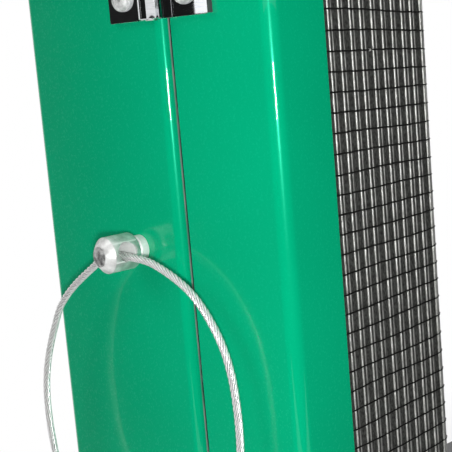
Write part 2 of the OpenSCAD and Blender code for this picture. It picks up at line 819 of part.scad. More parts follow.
// Lobed hand knob on the screw's lower end.
module hand_knob() {
    lobe_d = 11;
    lobes = 6;
    color(black_plastic) difference() {
        union() {
            translate([0, 0, hand_knob_top - hand_knob_h]) {
                cylinder(h = hand_knob_h - 5, d = hand_knob_d - lobe_d);
                for (i = [0:lobes - 1]) rotate(i * 360 / lobes)
                    translate([(hand_knob_d - lobe_d) / 2, 0, 0]) {
                        cylinder(h = 1.5, d1 = lobe_d - 3, d2 = lobe_d);
                        translate([0, 0, 1.5]) cylinder(h = hand_knob_h - 8, d = lobe_d);
                        translate([0, 0, hand_knob_h - 6.5]) cylinder(h = 1.5, d1 = lobe_d, d2 = lobe_d - 3);
                    }
            }
            translate([0, 0, hand_knob_top - 5]) cylinder(h = 5, d = 16);
        }
        translate([0, 0, screw_tail_z - 5]) cylinder(h = 40, d = screw_d - 2 * run_fit);
    }
}

module knob_cap() {
    color(cap_grey) translate([0, 0, screw_tail_z - 1.2]) cylinder(h = 1.2, d = 15);
}

top_bar();
lower_jaw();
jaw_bolts();
jaw_nuts();
jaw_pad();
edge_pad();
mast();
mast_screws();
core_tube();
lower_guide();
upper_guide();
guide_screws();
fixed_casing();
casing_spacers();
casing_nuts();
wing_bumpers();
top_cap();
cord_peg();
cord_peg_screw();
net_end();
net_band();
upper_post_leaf();
lower_post_leaf();
upper_hinge_pin();
lower_hinge_pin();
upper_hinge_spring();
lower_hinge_spring();
post_leaf_screws();
post_leaf_nuts();
pin_bush();
pin_housing();
wing_casing();
upper_wing_leaf();
lower_wing_leaf();
wing_leaf_screws();
wing_leaf_nuts();
pull_knob();
pin_shaft();
spring_seat();
pin_spring();
brake_pad();
wire_loop();
loop_ferrule();
pressure_pad();
pad_rubber();
pad_clip();
clamp_screw();
hand_knob();
knob_cap();
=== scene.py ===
# %% [markdown]
# # A net post with its table clamp
#
# The net of a table tennis table is held by a post at each side. This one has a green steel
# casing in two parts: the left part is fixed, the right part is a wing on spring hinges that
# grips the net's end. A pull pin with a wire-rope loop holds the post's height on the mast, and
# a screw clamp holds everything on the table. The imported CAD model gives every size and place,
# so the first step is to load it and to keep its box. Sizes are written in
# millimetres and multiplied by mm. Places on the post are counted from the casing's front.

# %% Load the frame
import math
import random

import bmesh
import bpy
from mathutils import Matrix, Vector


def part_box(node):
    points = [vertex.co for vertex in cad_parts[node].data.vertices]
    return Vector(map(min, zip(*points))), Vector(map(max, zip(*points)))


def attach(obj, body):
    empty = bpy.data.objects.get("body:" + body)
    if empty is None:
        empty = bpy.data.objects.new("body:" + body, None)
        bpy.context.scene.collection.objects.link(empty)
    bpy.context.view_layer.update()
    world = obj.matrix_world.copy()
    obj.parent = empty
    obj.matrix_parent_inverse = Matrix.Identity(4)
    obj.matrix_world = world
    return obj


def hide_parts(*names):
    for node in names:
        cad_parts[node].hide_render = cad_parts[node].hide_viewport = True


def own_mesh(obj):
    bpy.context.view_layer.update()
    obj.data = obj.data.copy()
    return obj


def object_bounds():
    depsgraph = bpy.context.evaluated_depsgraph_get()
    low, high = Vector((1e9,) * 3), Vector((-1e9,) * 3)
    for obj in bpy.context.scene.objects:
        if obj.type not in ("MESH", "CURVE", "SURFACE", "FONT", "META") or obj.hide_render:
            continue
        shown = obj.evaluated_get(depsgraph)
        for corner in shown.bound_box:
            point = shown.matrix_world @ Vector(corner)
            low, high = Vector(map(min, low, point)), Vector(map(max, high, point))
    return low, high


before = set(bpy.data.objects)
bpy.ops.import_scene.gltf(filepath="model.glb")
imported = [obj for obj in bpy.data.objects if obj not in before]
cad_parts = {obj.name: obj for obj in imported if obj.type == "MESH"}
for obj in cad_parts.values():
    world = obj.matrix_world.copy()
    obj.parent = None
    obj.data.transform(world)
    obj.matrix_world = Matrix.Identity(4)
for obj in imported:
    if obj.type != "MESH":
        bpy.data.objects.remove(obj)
cad_box = [list(corner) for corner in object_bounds()]
mm = 0.001
post_front, pin_height = -172.5, 85.0
print("frame box in mm:", [[round(c / mm, 1) for c in corner] for corner in cad_box])

# %% [markdown]
# ## Camera
#
# A camera could be placed by eye, but its place and turn were solved from the casing's edges,
# so they are written as numbers: the place in millimetres and the directions that point right
# and up in the picture. The third direction follows from the other two.

# %% Camera
camera_data = bpy.data.cameras.new("view_camera")
camera_data.lens = 91.27
camera_data.sensor_width = 36.0
camera_data.clip_start = 0.01
camera = bpy.data.objects.new("view_camera", camera_data)
bpy.context.scene.collection.objects.link(camera)
camera_place = Vector((181.6, -304.5, 123.8)) * mm
pin_place = Vector((0, post_front, pin_height)) * mm
right = Vector((0.6558, 0.7501, -0.0849)).normalized()
up = Vector((-0.0645, 0.1677, 0.9837))
up = (up - right * up.dot(right)).normalized()
back = right.cross(up)
turned = Matrix((right, up, back)).transposed().to_4x4()
camera.matrix_world = Matrix.Translation(camera_place) @ turned
bpy.context.scene.camera = camera
bpy.context.scene.view_settings.view_transform = "Standard"
print("camera is", round((camera_place - pin_place).length, 3), "m from the pin")

# %% [markdown]
# ## Helpers for materials
#
# Each finish is a Principled shader whose colour, roughness and bump come from noise. Object
# coordinates are in metres, so a noise scale of 1000 makes grains of a millimetre. A few short
# helpers keep the node graphs readable. Values that are the same all over a surface are set on
# the shader's own sockets, by their names in lower case.

# %% Material helpers
def add_node(tree, kind, inputs=None, **settings):
    """A new node. Inputs are linked where they are sockets and set where they are values."""
    node = tree.nodes.new(kind)
    for key, value in settings.items():
        setattr(node, key, value)
    for key, value in (inputs or {}).items():
        if isinstance(value, bpy.types.NodeSocket):
            tree.links.new(value, node.inputs[key])
        else:
            node.inputs[key].default_value = value
    return node


def start_material(name, **sockets):
    """A new material with its tree, its shader and its object coordinates."""
    material = bpy.data.materials.new(name)
    material.use_nodes = True
    tree = material.node_tree
    shader = tree.nodes["Principled BSDF"]
    for key, value in sockets.items():
        shader.inputs[key.replace("_", " ").title().replace("Ior", "IOR")].default_value = value
    place = add_node(tree, "ShaderNodeTexCoord").outputs["Object"]
    return material, tree, shader, place


def grains(tree, place, scale, detail=3.0, roughness=0.6, stretch=None):
    """Noise with so many grains to a metre. A stretch squeezes it along each axis."""
    if stretch:
        place = add_node(tree, "ShaderNodeMapping", {"Vector": place, "Scale": stretch}).outputs[0]
    return add_node(
        tree,
        "ShaderNodeTexNoise",
        {"Vector": place, "Scale": scale, "Detail": detail, "Roughness": roughness},
    ).outputs["Fac"]


def blend_colors(tree, factor, low, high, start=0.35, end=0.65):
    """A ramp from one colour to the other, between two values of the factor."""
    ramp = add_node(tree, "ShaderNodeValToRGB", {"Fac": factor})
    for stop, place, color in zip(ramp.color_ramp.elements, (start, end), (low, high)):
        stop.position = place
        stop.color = (*color, 1.0)
    return ramp.outputs["Color"]


def spread(tree, factor, low, high):
    """The middle of a noise's range, from 0.3 to 0.7, spread from low to high."""
    return add_node(
        tree,
        "ShaderNodeMapRange",
        {"Value": factor, "From Min": 0.3, "From Max": 0.7, "To Min": low, "To Max": high},
    ).outputs["Result"]


def raise_bump(tree, shader, height, strength, distance):
    bump = add_node(
        tree, "ShaderNodeBump", {"Height": height, "Strength": strength, "Distance": distance}
    )
    tree.links.new(bump.outputs["Normal"], shader.inputs["Normal"])


def plain_finish(name, low, high, rough, grain=900.0, bump=0.1, depth=0.00005, **sockets):
    """A finish with cloudy colour between low and high, cloudy roughness and a fine bump."""
    material, tree, shader, place = start_material(name, **sockets)
    clouds = grains(tree, place, grain / 12, 4.0)
    fine = grains(tree, place, grain, 3.0)
    tree.links.new(blend_colors(tree, clouds, low, high), shader.inputs["Base Color"])
    tree.links.new(spread(tree, fine, rough[0], rough[1]), shader.inputs["Roughness"])
    raise_bump(tree, shader, fine, bump, depth)
    return material


print("material helpers ready")

# %% [markdown]
# ## Metal, paint, plastic and rubber
#
# The casing's paint is a glossy stoved enamel. Such paint is never quite flat: it has a faint
# orange peel of two or three millimetres and a slow drift of colour. Its clear top is a thin
# coat with sharp reflections, and the paint below reflects in its own green. Metals differ by
# how they were made: plated zinc is cloudy, turned steel has fine rings, chrome is a mirror
# with hairline scratches, and a cut or weathered face is rough and only partly metallic.

# %% Green enamel
enamel, tree, shader, place = start_material(
    "green_enamel",
    coat_weight=0.45,
    coat_roughness=0.02,
    specular_ior_level=0.3,
    specular_tint=(0.08, 1.0, 0.65, 1.0),
)
drift = grains(tree, place, 14.0, 2.0)
peel = grains(tree, place, 420.0, 1.0)
dust = grains(tree, place, 2600.0, 2.0)
tree.links.new(
    blend_colors(tree, drift, (0.0, 0.375, 0.175), (0.0, 0.425, 0.2)), shader.inputs["Base Color"]
)
tree.links.new(spread(tree, dust, 0.2, 0.3), shader.inputs["Roughness"])
raise_bump(tree, shader, peel, 0.03, 0.0002)
print("green enamel ready")

# %% Chrome, turned steel and zinc
chrome, tree, shader, place = start_material("chrome_plate", metallic=1.0)
hairlines = grains(tree, place, 300.0, 2.0, 0.7, stretch=(1.0, 1.0, 14.0))
tree.links.new(
    blend_colors(tree, hairlines, (0.62, 0.63, 0.65), (0.74, 0.75, 0.77)),
    shader.inputs["Base Color"],
)
tree.links.new(spread(tree, hairlines, 0.01, 0.03), shader.inputs["Roughness"])
raise_bump(tree, shader, hairlines, 0.006, 0.00002)


def turned_metal(name, low, high, rough, ring_direction="Y", rings=2600.0, metallic=1.0):
    """A metal with the fine rings of a lathe, stacked along one direction."""
    material, tree, shader, place = start_material(name, metallic=metallic)
    lines = add_node(
        tree,
        "ShaderNodeTexWave",
        {"Vector": place, "Scale": rings, "Distortion": 1.5, "Detail": 2.0},
        bands_direction=ring_direction,
    ).outputs["Fac"]
    clouds = grains(tree, place, 380.0, 4.0)
    tree.links.new(blend_colors(tree, clouds, low, high), shader.inputs["Base Color"])
    tree.links.new(spread(tree, clouds, rough[0], rough[1]), shader.inputs["Roughness"])
    raise_bump(tree, shader, lines, 0.12, 0.00002)
    return material


bright_steel = turned_metal(
    "bright_steel", (0.66, 0.66, 0.66), (0.82, 0.82, 0.82), (0.12, 0.26)
)
thread_steel = turned_metal(
    "thread_steel", (0.5, 0.5, 0.51), (0.66, 0.66, 0.67), (0.25, 0.4), ring_direction="Z"
)
satin_steel = turned_metal(
    "satin_steel", (0.5, 0.5, 0.49), (0.92, 0.92, 0.91), (0.34, 0.5), metallic=0.65
)
matt_steel = turned_metal(
    "matt_steel", (0.8, 0.8, 0.79), (0.95, 0.95, 0.94), (0.4, 0.55), metallic=0.15
)
print("turned metals ready")

# %% Rough, plated and drawn metals
face_steel = plain_finish(
    "rough_face_steel", (0.1, 0.1, 0.1), (0.7, 0.7, 0.69), (0.4, 0.6),
    grain=9000.0, bump=0.9, depth=0.00015, metallic=0.7
)
head_steel = plain_finish(
    "speckled_screw_steel", (0.45, 0.46, 0.45), (0.9, 0.91, 0.9), (0.4, 0.55),
    grain=9000.0, bump=0.8, depth=0.00008, metallic=0.35
)
zinc = plain_finish(
    "zinc_plate", (0.42, 0.43, 0.45), (0.62, 0.63, 0.66), (0.28, 0.45), grain=500.0, metallic=1.0
)
bare_edge = plain_finish(
    "bare_sheet_edge", (0.1, 0.26, 0.18), (0.34, 0.38, 0.33), (0.4, 0.55),
    grain=1500.0, metallic=0.2
)
cut_edge = plain_finish(
    "plated_cut_edge", (0.05, 0.045, 0.05), (0.11, 0.1, 0.11), (0.5, 0.65),
    grain=2500.0, metallic=0.3
)
spring_steel = plain_finish(
    "spring_steel", (0.3, 0.3, 0.31), (0.45, 0.45, 0.46), (0.25, 0.4), grain=900.0, metallic=1.0
)
print("rough, plated and drawn metals ready")

# %% Black paint, plastics and rubber
black_coat = plain_finish(
    "black_powder_coat", (0.012, 0.012, 0.013), (0.022, 0.022, 0.024), (0.35, 0.5),
    grain=1500.0, bump=0.35, depth=0.00008
)
black_plastic = plain_finish(
    "black_moulded_plastic", (0.011, 0.011, 0.012), (0.02, 0.02, 0.021), (0.38, 0.52),
    grain=2200.0, bump=0.25, depth=0.00005
)
pale_plastic = plain_finish(
    "pale_slide_plastic", (0.62, 0.61, 0.56), (0.72, 0.71, 0.67), (0.35, 0.5),
    grain=1200.0, bump=0.12, depth=0.00004
)
rubber = plain_finish(
    "black_rubber", (0.013, 0.013, 0.013), (0.03, 0.03, 0.03), (0.7, 0.9),
    grain=1800.0, bump=0.4, depth=0.0001
)
print("paint, plastics and rubber ready")

# %% [markdown]
# ## Helpers for shapes
#
# Every piece starts from a bmesh. One helper turns a finished bmesh into an object that rides
# on its CAD body and stands for its CAD node. It merges doubles, points the faces outwards and
# marks edges sharper than 35 degrees, so that round faces shade smoothly and rims stay crisp.
# A small bevel on the rims catches light as a real edge does.

# %% Helper that finishes a piece
merge_reach = 0.000002
sharp_angle, rim_angle = 35.0, 40.0


def finish_piece(
    name, bm, body, material, nodes=(), rim=0.0, sharp=sharp_angle, solid=True, segments=2
):
    """An object from a bmesh: rim is its bevel's width in mm, and an open skin isn't solid."""
    bmesh.ops.remove_doubles(bm, verts=bm.verts[:], dist=merge_reach)
    if solid:
        bmesh.ops.recalc_face_normals(bm, faces=bm.faces[:])
    mesh = bpy.data.meshes.new(name)
    bm.to_mesh(mesh)
    bm.free()
    mesh.shade_smooth()
    mesh.set_sharp_from_angle(angle=math.radians(sharp))
    piece = bpy.data.objects.new(name, mesh)
    bpy.context.scene.collection.objects.link(piece)
    mesh.materials.append(material)
    if rim:
        bevel = piece.modifiers.new("rim", "BEVEL")
        bevel.width = rim * mm
        bevel.segments = segments
        bevel.limit_method = "ANGLE"
        bevel.angle_limit = math.radians(rim_angle)
        bevel.use_clamp_overlap = True
        bevel.harden_normals = True
    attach(piece, body)
    if nodes:
        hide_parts(*nodes)
    print(name, "has", len(mesh.polygons), "faces")
    return piece


print("edges over", sharp_angle, "degrees stay sharp")

# %% [markdown]
# Turned parts are spun from half of their outline, as on a lathe. A bmesh may hold several
# shapes, so each helper tags the vertices that it has put in place, and the next one moves
# only the vertices that carry no tag yet.

# %% Helpers that make shapes
def lathe(bm, profile, place, steps=48):
    """Spins a line of (radius, height) points in mm round Z, then moves it with the place matrix."""
    line = [bm.verts.new((r * mm, 0, h * mm)) for r, h in profile]
    edges = [bm.edges.new(pair) for pair in zip(line, line[1:])]
    bmesh.ops.spin(
        bm, geom=line + edges, cent=(0, 0, 0), axis=(0, 0, 1), angle=math.tau, steps=steps,
        use_merge=True, dvec=(0, 0, 0)
    )
    turned = {v for v in bm.verts if v.is_valid and not v.tag}
    bmesh.ops.transform(bm, matrix=place, verts=list(turned))
    for v in turned:
        v.tag = True


def in_post(x, depth, z):
    """A place on the post, depth mm behind the casing's front, with +Z turned to the table."""
    return Matrix.Translation(Vector((x, post_front + depth, z)) * mm) @ Matrix.Rotation(
        math.radians(-90), 4, "X"
    )


def at(x, y, z):
    """A place in mm, unturned."""
    return Matrix.Translation(Vector((x, y, z)) * mm)


def block(bm, low, high):
    """A box between two corners in mm. Returns its vertices."""
    middle = [(a + b) / 2 * mm for a, b in zip(low, high)]
    size = [(b - a) * mm for a, b in zip(low, high)]
    made = bmesh.ops.create_cube(bm, size=1.0, matrix=Matrix.LocRotScale(middle, None, size))
    for v in made["verts"]:
        v.tag = True
    return made["verts"]


def copy_of(node):
    """The CAD node's triangles with their doubles merged and flat faces joined again."""
    bm = bmesh.new()
    bm.from_mesh(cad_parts[node].data)
    bmesh.ops.remove_doubles(bm, verts=bm.verts[:], dist=merge_reach)
    bmesh.ops.dissolve_limit(
        bm, angle_limit=math.radians(0.5), verts=bm.verts[:], edges=bm.edges[:],
        use_dissolve_boundaries=False
    )
    return bm


print("shape helpers ready")

# %% [markdown]
# ## Wire-rope loop
#
# The loop hangs in the pull knob's cross hole and its ends meet in a crimped ferrule. The rope
# is seven strands of seven thin wires, laid in a helix. Modelling every wire would take too many
# faces, so the six outer strands and the core are real tubes along one smooth route, and the
# wires in each strand are a fine bump that follows the strand's own UV map. The route is drawn
# flat, as places across and above the pin, and then turned and leaned a little as it hangs.

# %% Route of the loop
route_knots = [
    (3.5, -69), (8.8, -67.8), (14.4, -65.6), (19.8, -61.6), (24.6, -55.4), (28, -47.8),
    (29.6, -39.8), (30.2, -32.2), (30, -25.8), (29.2, -20.2), (27.4, -15), (24.2, -10),
    (20.4, -6.2), (15.6, -3.4), (9.6, -1.2), (4.6, -0.6), (0, -0.4), (-3.2, -1), (-5.4, -1.8),
    (-8, -3.4), (-14.8, -7.8), (-20, -12.4), (-23, -17.2), (-25.4, -22), (-27.2, -26.8),
    (-28.2, -31.6), (-28.4, -36.6), (-28, -42.2), (-26.6, -48.8), (-23.4, -55), (-18.4, -60.6),
    (-12, -65.4), (-5.5, -69),
]
loop_depth, loop_turn, loop_lean, rope_width = -5.8, 4, 1, 1.5
loop_place = (
    at(0, post_front + loop_depth, pin_height)
    @ Matrix.Rotation(math.radians(loop_turn), 4, "Z")
    @ Matrix.Rotation(math.radians(-loop_lean), 4, "X")
)


def through(knots, steps):
    """Points of a smooth line through the knots."""
    knots = [Vector(k) for k in knots]
    ends = [2 * knots[0] - knots[1], *knots, 2 * knots[-1] - knots[-2]]
    line = []
    for a, b, c, d in zip(ends, ends[1:], ends[2:], ends[3:]):
        for step in range(steps):
            t = step / steps
            bend, twist = 2 * a - 5 * b + 4 * c - d, 3 * b - a - 3 * c + d
            line.append(0.5 * (2 * b + (c - a) * t + bend * t**2 + twist * t**3))
    return [*line, knots[-1]]


def even_points(line, gap):
    """The same line with its points an even gap apart."""
    lengths = [0.0]
    for a, b in zip(line, line[1:]):
        lengths.append(lengths[-1] + (b - a).length)
    count = round(lengths[-1] / gap)
    points, place = [], 0
    for step in range(count + 1):
        want = lengths[-1] * step / count
        while place < len(line) - 2 and lengths[place + 1] < want:
            place += 1
        share = (want - lengths[place]) / (lengths[place + 1] - lengths[place])
        points.append(line[place].lerp(line[place + 1], share))
    return points, lengths[-1]


flat_route, rope_length = even_points(through(route_knots, 12), 0.35)
rope_path = [loop_place @ (Vector((p.x, 0, p.y)) * mm) for p in flat_route]
print("rope is", round(rope_length, 1), "mm long in", len(rope_path), "points")

# %% Strands
strand_count, strand_reach, strand_r, core_r, rope_lay = 6, 0.51, 0.24, 0.26, 7.5


def strand_lines(path, strands, reach, lay):
    """Lines that wind round a path in the loop's plane, reach from its middle, once in each lay."""
    lines = [[] for _ in range(strands)]
    side = loop_place.to_3x3() @ Vector((0, 1, 0))
    along = 0.0
    for i, point in enumerate(path):
        ahead = (path[min(i + 1, len(path) - 1)] - path[max(i - 1, 0)]).normalized()
        out = side.cross(ahead)
        if i:
            along += (point - path[i - 1]).length
        for k in range(strands):
            angle = math.tau * (k / strands + along / lay)
            lines[k].append(point + reach * (math.cos(angle) * out + math.sin(angle) * side))
    return lines


def tube_mesh(name, lines, radius, detail=3):
    """A mesh of round tubes along the lines, with U along each tube and V round it, from 0 to 1."""
    curve = bpy.data.curves.new(name, "CURVE")
    curve.dimensions = "3D"
    curve.bevel_depth = radius
    curve.bevel_resolution = detail
    curve.use_fill_caps = True
    for line in lines:
        spline = curve.splines.new("POLY")
        spline.points.add(len(line) - 1)
        for knot, point in zip(spline.points, line):
            knot.co = (*point, 1.0)
    holder = bpy.data.objects.new(name, curve)
    mesh = bpy.data.meshes.new_from_object(holder)
    bpy.data.objects.remove(holder)
    bpy.data.curves.remove(curve)
    return mesh


rope_lines = strand_lines(rope_path, strand_count, strand_reach * mm, rope_lay * mm)
strands = tube_mesh("rope_strands", rope_lines, strand_r * mm, 2)
print("strands have", len(strands.polygons), "faces, UV maps:", [u.name for u in strands.uv_layers])

# %% [markdown]
# Each strand has six wires round its own core, laid the other way. Their bump is a sine of the
# strand's UV map: U runs along the tube and V round it, so adding a share of one to the other
# turns the lines into a helix. The same sine darkens the colour in the grooves between the
# wires, a painted shade for these crevices.

# %% Rope steel
def laid_wires(name, wires, turns):
    """Steel with a count of wires that turn round each tube so many times over its length."""
    material, tree, shader, place = start_material(name, metallic=0.7)
    uv = add_node(tree, "ShaderNodeUVMap", uv_map="UVMap").outputs["UV"]
    split = add_node(tree, "ShaderNodeSeparateXYZ", {"Vector": uv})
    along = add_node(
        tree,
        "ShaderNodeMath",
        {0: split.outputs["X"], 1: -turns * wires * math.tau},
        operation="MULTIPLY",
    )
    around = add_node(
        tree,
        "ShaderNodeMath",
        {0: split.outputs["Y"], 1: wires * math.tau, 2: along.outputs[0]},
        operation="MULTIPLY_ADD",
    )
    wave = add_node(tree, "ShaderNodeMath", {0: around.outputs[0]}, operation="SINE")
    height = add_node(
        tree, "ShaderNodeMapRange", {"Value": wave.outputs[0], "From Min": -1.0, "From Max": 1.0}
    ).outputs["Result"]
    clouds = grains(tree, place, 900.0, 3.0)
    # The colour follows the wires' height: darker in the grooves, a painted shade for the crevices.
    tree.links.new(
        blend_colors(tree, height, (0.5, 0.49, 0.49), (0.96, 0.96, 0.95), start=0.0, end=0.55),
        shader.inputs["Base Color"],
    )
    tree.links.new(spread(tree, clouds, 0.3, 0.45), shader.inputs["Roughness"])
    raise_bump(tree, shader, height, 0.4, 0.00004)
    return material


rope_steel = laid_wires("rope_steel", wires=6, turns=34)
rope_bm = bmesh.new()
rope_bm.from_mesh(strands)
rope_bm.from_mesh(tube_mesh("rope_core", [rope_path], core_r * mm, 1))
wire_rope = finish_piece(
    "wire_rope_loop", rope_bm, "loop", rope_steel, ["wire_loop"], sharp=80, solid=False
)

# %% [markdown]
# The ferrule is a short steel tube that a tool has pressed on the rope's two ends in three
# places. It is spun from its outline, where each pressed place is a shallow groove, and lies
# midway between the route's first and last knot.

# %% Ferrule
ferrule_x, ferrule_z = (route_knots[0][0] + route_knots[-1][0]) / 2, route_knots[0][1]
ferrule_r, groove_r, ferrule_bore = 1.5, 1.36, 0.6
ferrule_half = [
    (groove_r, 0.7), (ferrule_r, 0.9), (ferrule_r, 1.5), (groove_r, 1.7), (groove_r, 3.1),
    (ferrule_r, 3.3), (ferrule_r, 4.25), (1.3, 4.5), (0.78, 4.5), (ferrule_bore, 4.4),
]
other_half = [(r, -h) for r, h in reversed(ferrule_half)]
ferrule_bm = bmesh.new()
lathe(
    ferrule_bm,
    [*other_half, *ferrule_half, other_half[0]],
    loop_place @ at(ferrule_x, 0, ferrule_z) @ Matrix.Rotation(math.radians(90), 4, "Y"),
    32,
)
ferrule = finish_piece("crimped_ferrule", ferrule_bm, "loop", bright_steel, ["loop_ferrule"])
print("loop declared,", round(rope_length, 1), "mm")

# %% [markdown]
# ## Casing
#
# Both casing parts are folded from steel sheet. The way to make one follows the real work: the
# outer line of the plan is drawn with a few vertices, pulled up to the full height, bent at the
# corners with a round bevel and then given the sheet's thickness. At the seam the fixed part
# ends in a short lip bent inwards, where the paint stops and a thin line of bare steel shows.

# %% Folded sheets
sheet_t, casing_low, casing_high = 1.2, 13.5, 158.0


def pull_up(bm, edges, height):
    """Pulls edges up into a wall, height mm tall. New faces have no normals until an update."""
    pulled = bmesh.ops.extrude_edge_only(bm, edges=edges)["geom"]
    top = [g for g in pulled if isinstance(g, bmesh.types.BMVert)]
    bmesh.ops.translate(bm, verts=top, vec=(0, 0, height * mm))
    bm.normal_update()


def folded_sheet(plan, bend_r):
    """A sheet with its outside along the plan's (x, depth) points in mm."""
    bm = bmesh.new()
    line = [bm.verts.new(Vector((x, post_front + depth, casing_low)) * mm) for x, depth in plan]
    edges = [bm.edges.new(pair) for pair in zip(line, line[1:])]
    pull_up(bm, edges, casing_high - casing_low)
    corners = [e for e in bm.edges if len(e.link_faces) == 2]
    bmesh.ops.bevel(
        bm, geom=corners, offset=bend_r * mm, segments=12, profile=0.5, affect="EDGES", material=-1
    )
    bm.normal_update()
    front = max(bm.faces, key=lambda f: abs(f.normal.y) * f.calc_area())
    if front.normal.y > 0:
        bmesh.ops.reverse_faces(bm, faces=bm.faces[:])
    bmesh.ops.solidify(bm, geom=bm.faces[:], thickness=sheet_t * mm)
    return bm


print("casing is", casing_high - casing_low, "mm tall")

# %% Fixed part
casing_left, seam_x, wing_left, wing_right, flange_depth = -33.2, 12.7, 15.6, 41.8, 13.2
lip_end, paint_end, edge_rim = 2.2, 1.7, 0.12
stud_r, stud_long, stud_places = 2.0, 10.3, ((-24, 50), (-24, 120), (7, 60), (7, 110))
fixed_bm = folded_sheet(
    [(casing_left, flange_depth), (casing_left, 0), (seam_x, 0), (seam_x, lip_end)], 2.1
)
for x, z in stud_places:
    bmesh.ops.create_cone(
        fixed_bm, cap_ends=True, segments=24, radius1=stud_r * mm, radius2=stud_r * mm,
        depth=stud_long * mm, matrix=in_post(x, sheet_t - 0.2 + stud_long / 2, z)
    )
for face in fixed_bm.faces:
    middle = face.calc_center_median() / mm
    if middle.x > seam_x - 0.7 and middle.y - post_front > paint_end:
        face.material_index = 1
fixed_part = finish_piece(
    "fixed_casing_sheet", fixed_bm, "post", enamel, ["fixed_casing"], edge_rim
)
fixed_part.data.materials.append(bare_edge)

# %% Wing
wing_bm = folded_sheet([(wing_left, 0), (wing_right, 0), (wing_right, flange_depth)], 2.6)
wing_part = finish_piece(
    "wing_casing_sheet", wing_bm, "wing", enamel, ["wing_casing"], edge_rim
)


def corners_of(piece):
    """The lowest and the highest corner of a piece's mesh."""
    columns = list(zip(*(v.co for v in piece.data.vertices)))
    return Vector([min(c) for c in columns]), Vector([max(c) for c in columns])


for part, node in ((fixed_part, "fixed_casing"), (wing_part, "wing_casing")):
    gaps = [(own - cad).length / mm for own, cad in zip(corners_of(part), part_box(node))]
    print(node, "differs by", [round(gap, 2) for gap in gaps], "mm")

# %% [markdown]
# ## Hinges
#
# Two spring butt hinges join the wing to the fixed part. A leaf is a stamped plate with slightly
# rounded corners. It rises a little at its root, and its knuckles are rolled round the pin. The
# side of the plate shows where it was cut, so it gets a darker finish than the chrome.

# %% Hinge leaves
hinge_x, hinge_depth, hinge_h, leaf_w, leaf_t = 13.3, -2.4, 24.0, 14.5, 1.2
leaf_root, knuckle_r, knuckle_foot, soft = 2.9, 2.3, 3.7, 0.18
hinges = {"upper": 140.9, "lower": 26.0}


def round_outer_corners(bm, verts, side, radius):
    """Rounds the plate's two upright outer corners, at the edges that run through its thickness."""
    outer = max(side * v.co.x for v in verts)
    edges = {
        e for v in verts for e in v.link_edges
        if all(side * w.co.x > outer - 0.0001 for w in e.verts)
        and abs(e.verts[0].co.y - e.verts[1].co.y) > 0.0005
    }
    bmesh.ops.bevel(
        bm, geom=list(edges), offset=radius * mm, segments=6, profile=0.5, affect="EDGES", material=-1
    )


def hinge_leaf(name, height, side, knuckles, bore, body, node):
    """One leaf to the left (side -1) or right (side 1), with knuckles as (start, height) pairs."""
    bm = bmesh.new()
    inner, outer = sorted((side * leaf_root, side * leaf_w))
    plate = block(
        bm,
        (hinge_x + inner, post_front - leaf_t, height - hinge_h / 2),
        (hinge_x + outer, post_front, height + hinge_h / 2),
    )
    round_outer_corners(bm, plate, side, 0.3)
    root = ((leaf_root, -1.15), (4.6, -1.15), (4.6, -leaf_t), (leaf_root, -1.78))
    ends = [[
        bm.verts.new(Vector((hinge_x + side * u, post_front + depth, height + z)) * mm)
        for u, depth in root
    ] for z in (-hinge_h / 2, hinge_h / 2)]
    for ring in ends:
        bm.faces.new(ring)
    for i in range(4):
        bm.faces.new((ends[0][i - 1], ends[0][i], ends[1][i], ends[1][i - 1]))
    for v in bm.verts:
        v.tag = True
    for start, tall in knuckles:
        low = height - hinge_h / 2 + start
        reach = sorted((0, side * knuckle_foot))
        block(
            bm,
            (hinge_x + reach[0], post_front - leaf_t, low),
            (hinge_x + reach[1], post_front - 0.02, low + tall),
        )
        lathe(
            bm,
            [(bore, 0.1), (bore + 0.2, 0), (knuckle_r - soft, 0), (knuckle_r, soft),
             (knuckle_r, tall - soft), (knuckle_r - soft, tall), (bore + 0.2, tall),
             (bore, tall - 0.1), (bore, 0.1)],
            at(hinge_x, post_front + hinge_depth, low),
            40,
        )
    leaf = finish_piece(name, bm, body, chrome, [node], rim=0.06)
    leaf.data.materials.append(cut_edge)
    for face in leaf.data.polygons:
        if side * (face.center.x / mm - hinge_x) > leaf_w - 0.05:
            face.material_index = 1
    return leaf


post_knuckles = [(0, 5), (hinge_h - 5, 5)]
wing_knuckles = [(5.15, 3.45), (hinge_h - 8.6, 3.45)]
for name, height in hinges.items():
    for side, body, knuckles, bore in (
        (-1, "post", post_knuckles, 1.2), (1, "wing", wing_knuckles, 1.25)
    ):
        leaf_name = f"{name}_leaf_on_{body}"
        hinge_leaf(leaf_name, height, side, knuckles, bore, body, f"{name}_{body}_leaf")

# %% [markdown]
# The pin is a round rod with riveted ends. Round it, between the wing's knuckles, sits a torsion
# spring: one unbroken wire tube along a helix, the way a spring is wound.

# %% Helpers for springs
def helix(radius, turns, pitch, place):
    """Points of a winding round Z that climbs by the pitch in each turn."""
    steps = round(turns * 24)
    return [
        place
        @ (Vector((
            radius * math.cos(math.tau * turns * i / steps),
            radius * math.sin(math.tau * turns * i / steps),
            turns * pitch * i / steps,
        )) * mm)
        for i in range(steps + 1)
    ]


def wound_spring(name, line, wire, body, node):
    """A spring of wire so many mm thick along a line."""
    bm = bmesh.new()
    bm.from_mesh(tube_mesh(name, [line], wire / 2 * mm, 3))
    return finish_piece(name, bm, body, spring_steel, [node], sharp=60)


print("spring helpers ready")

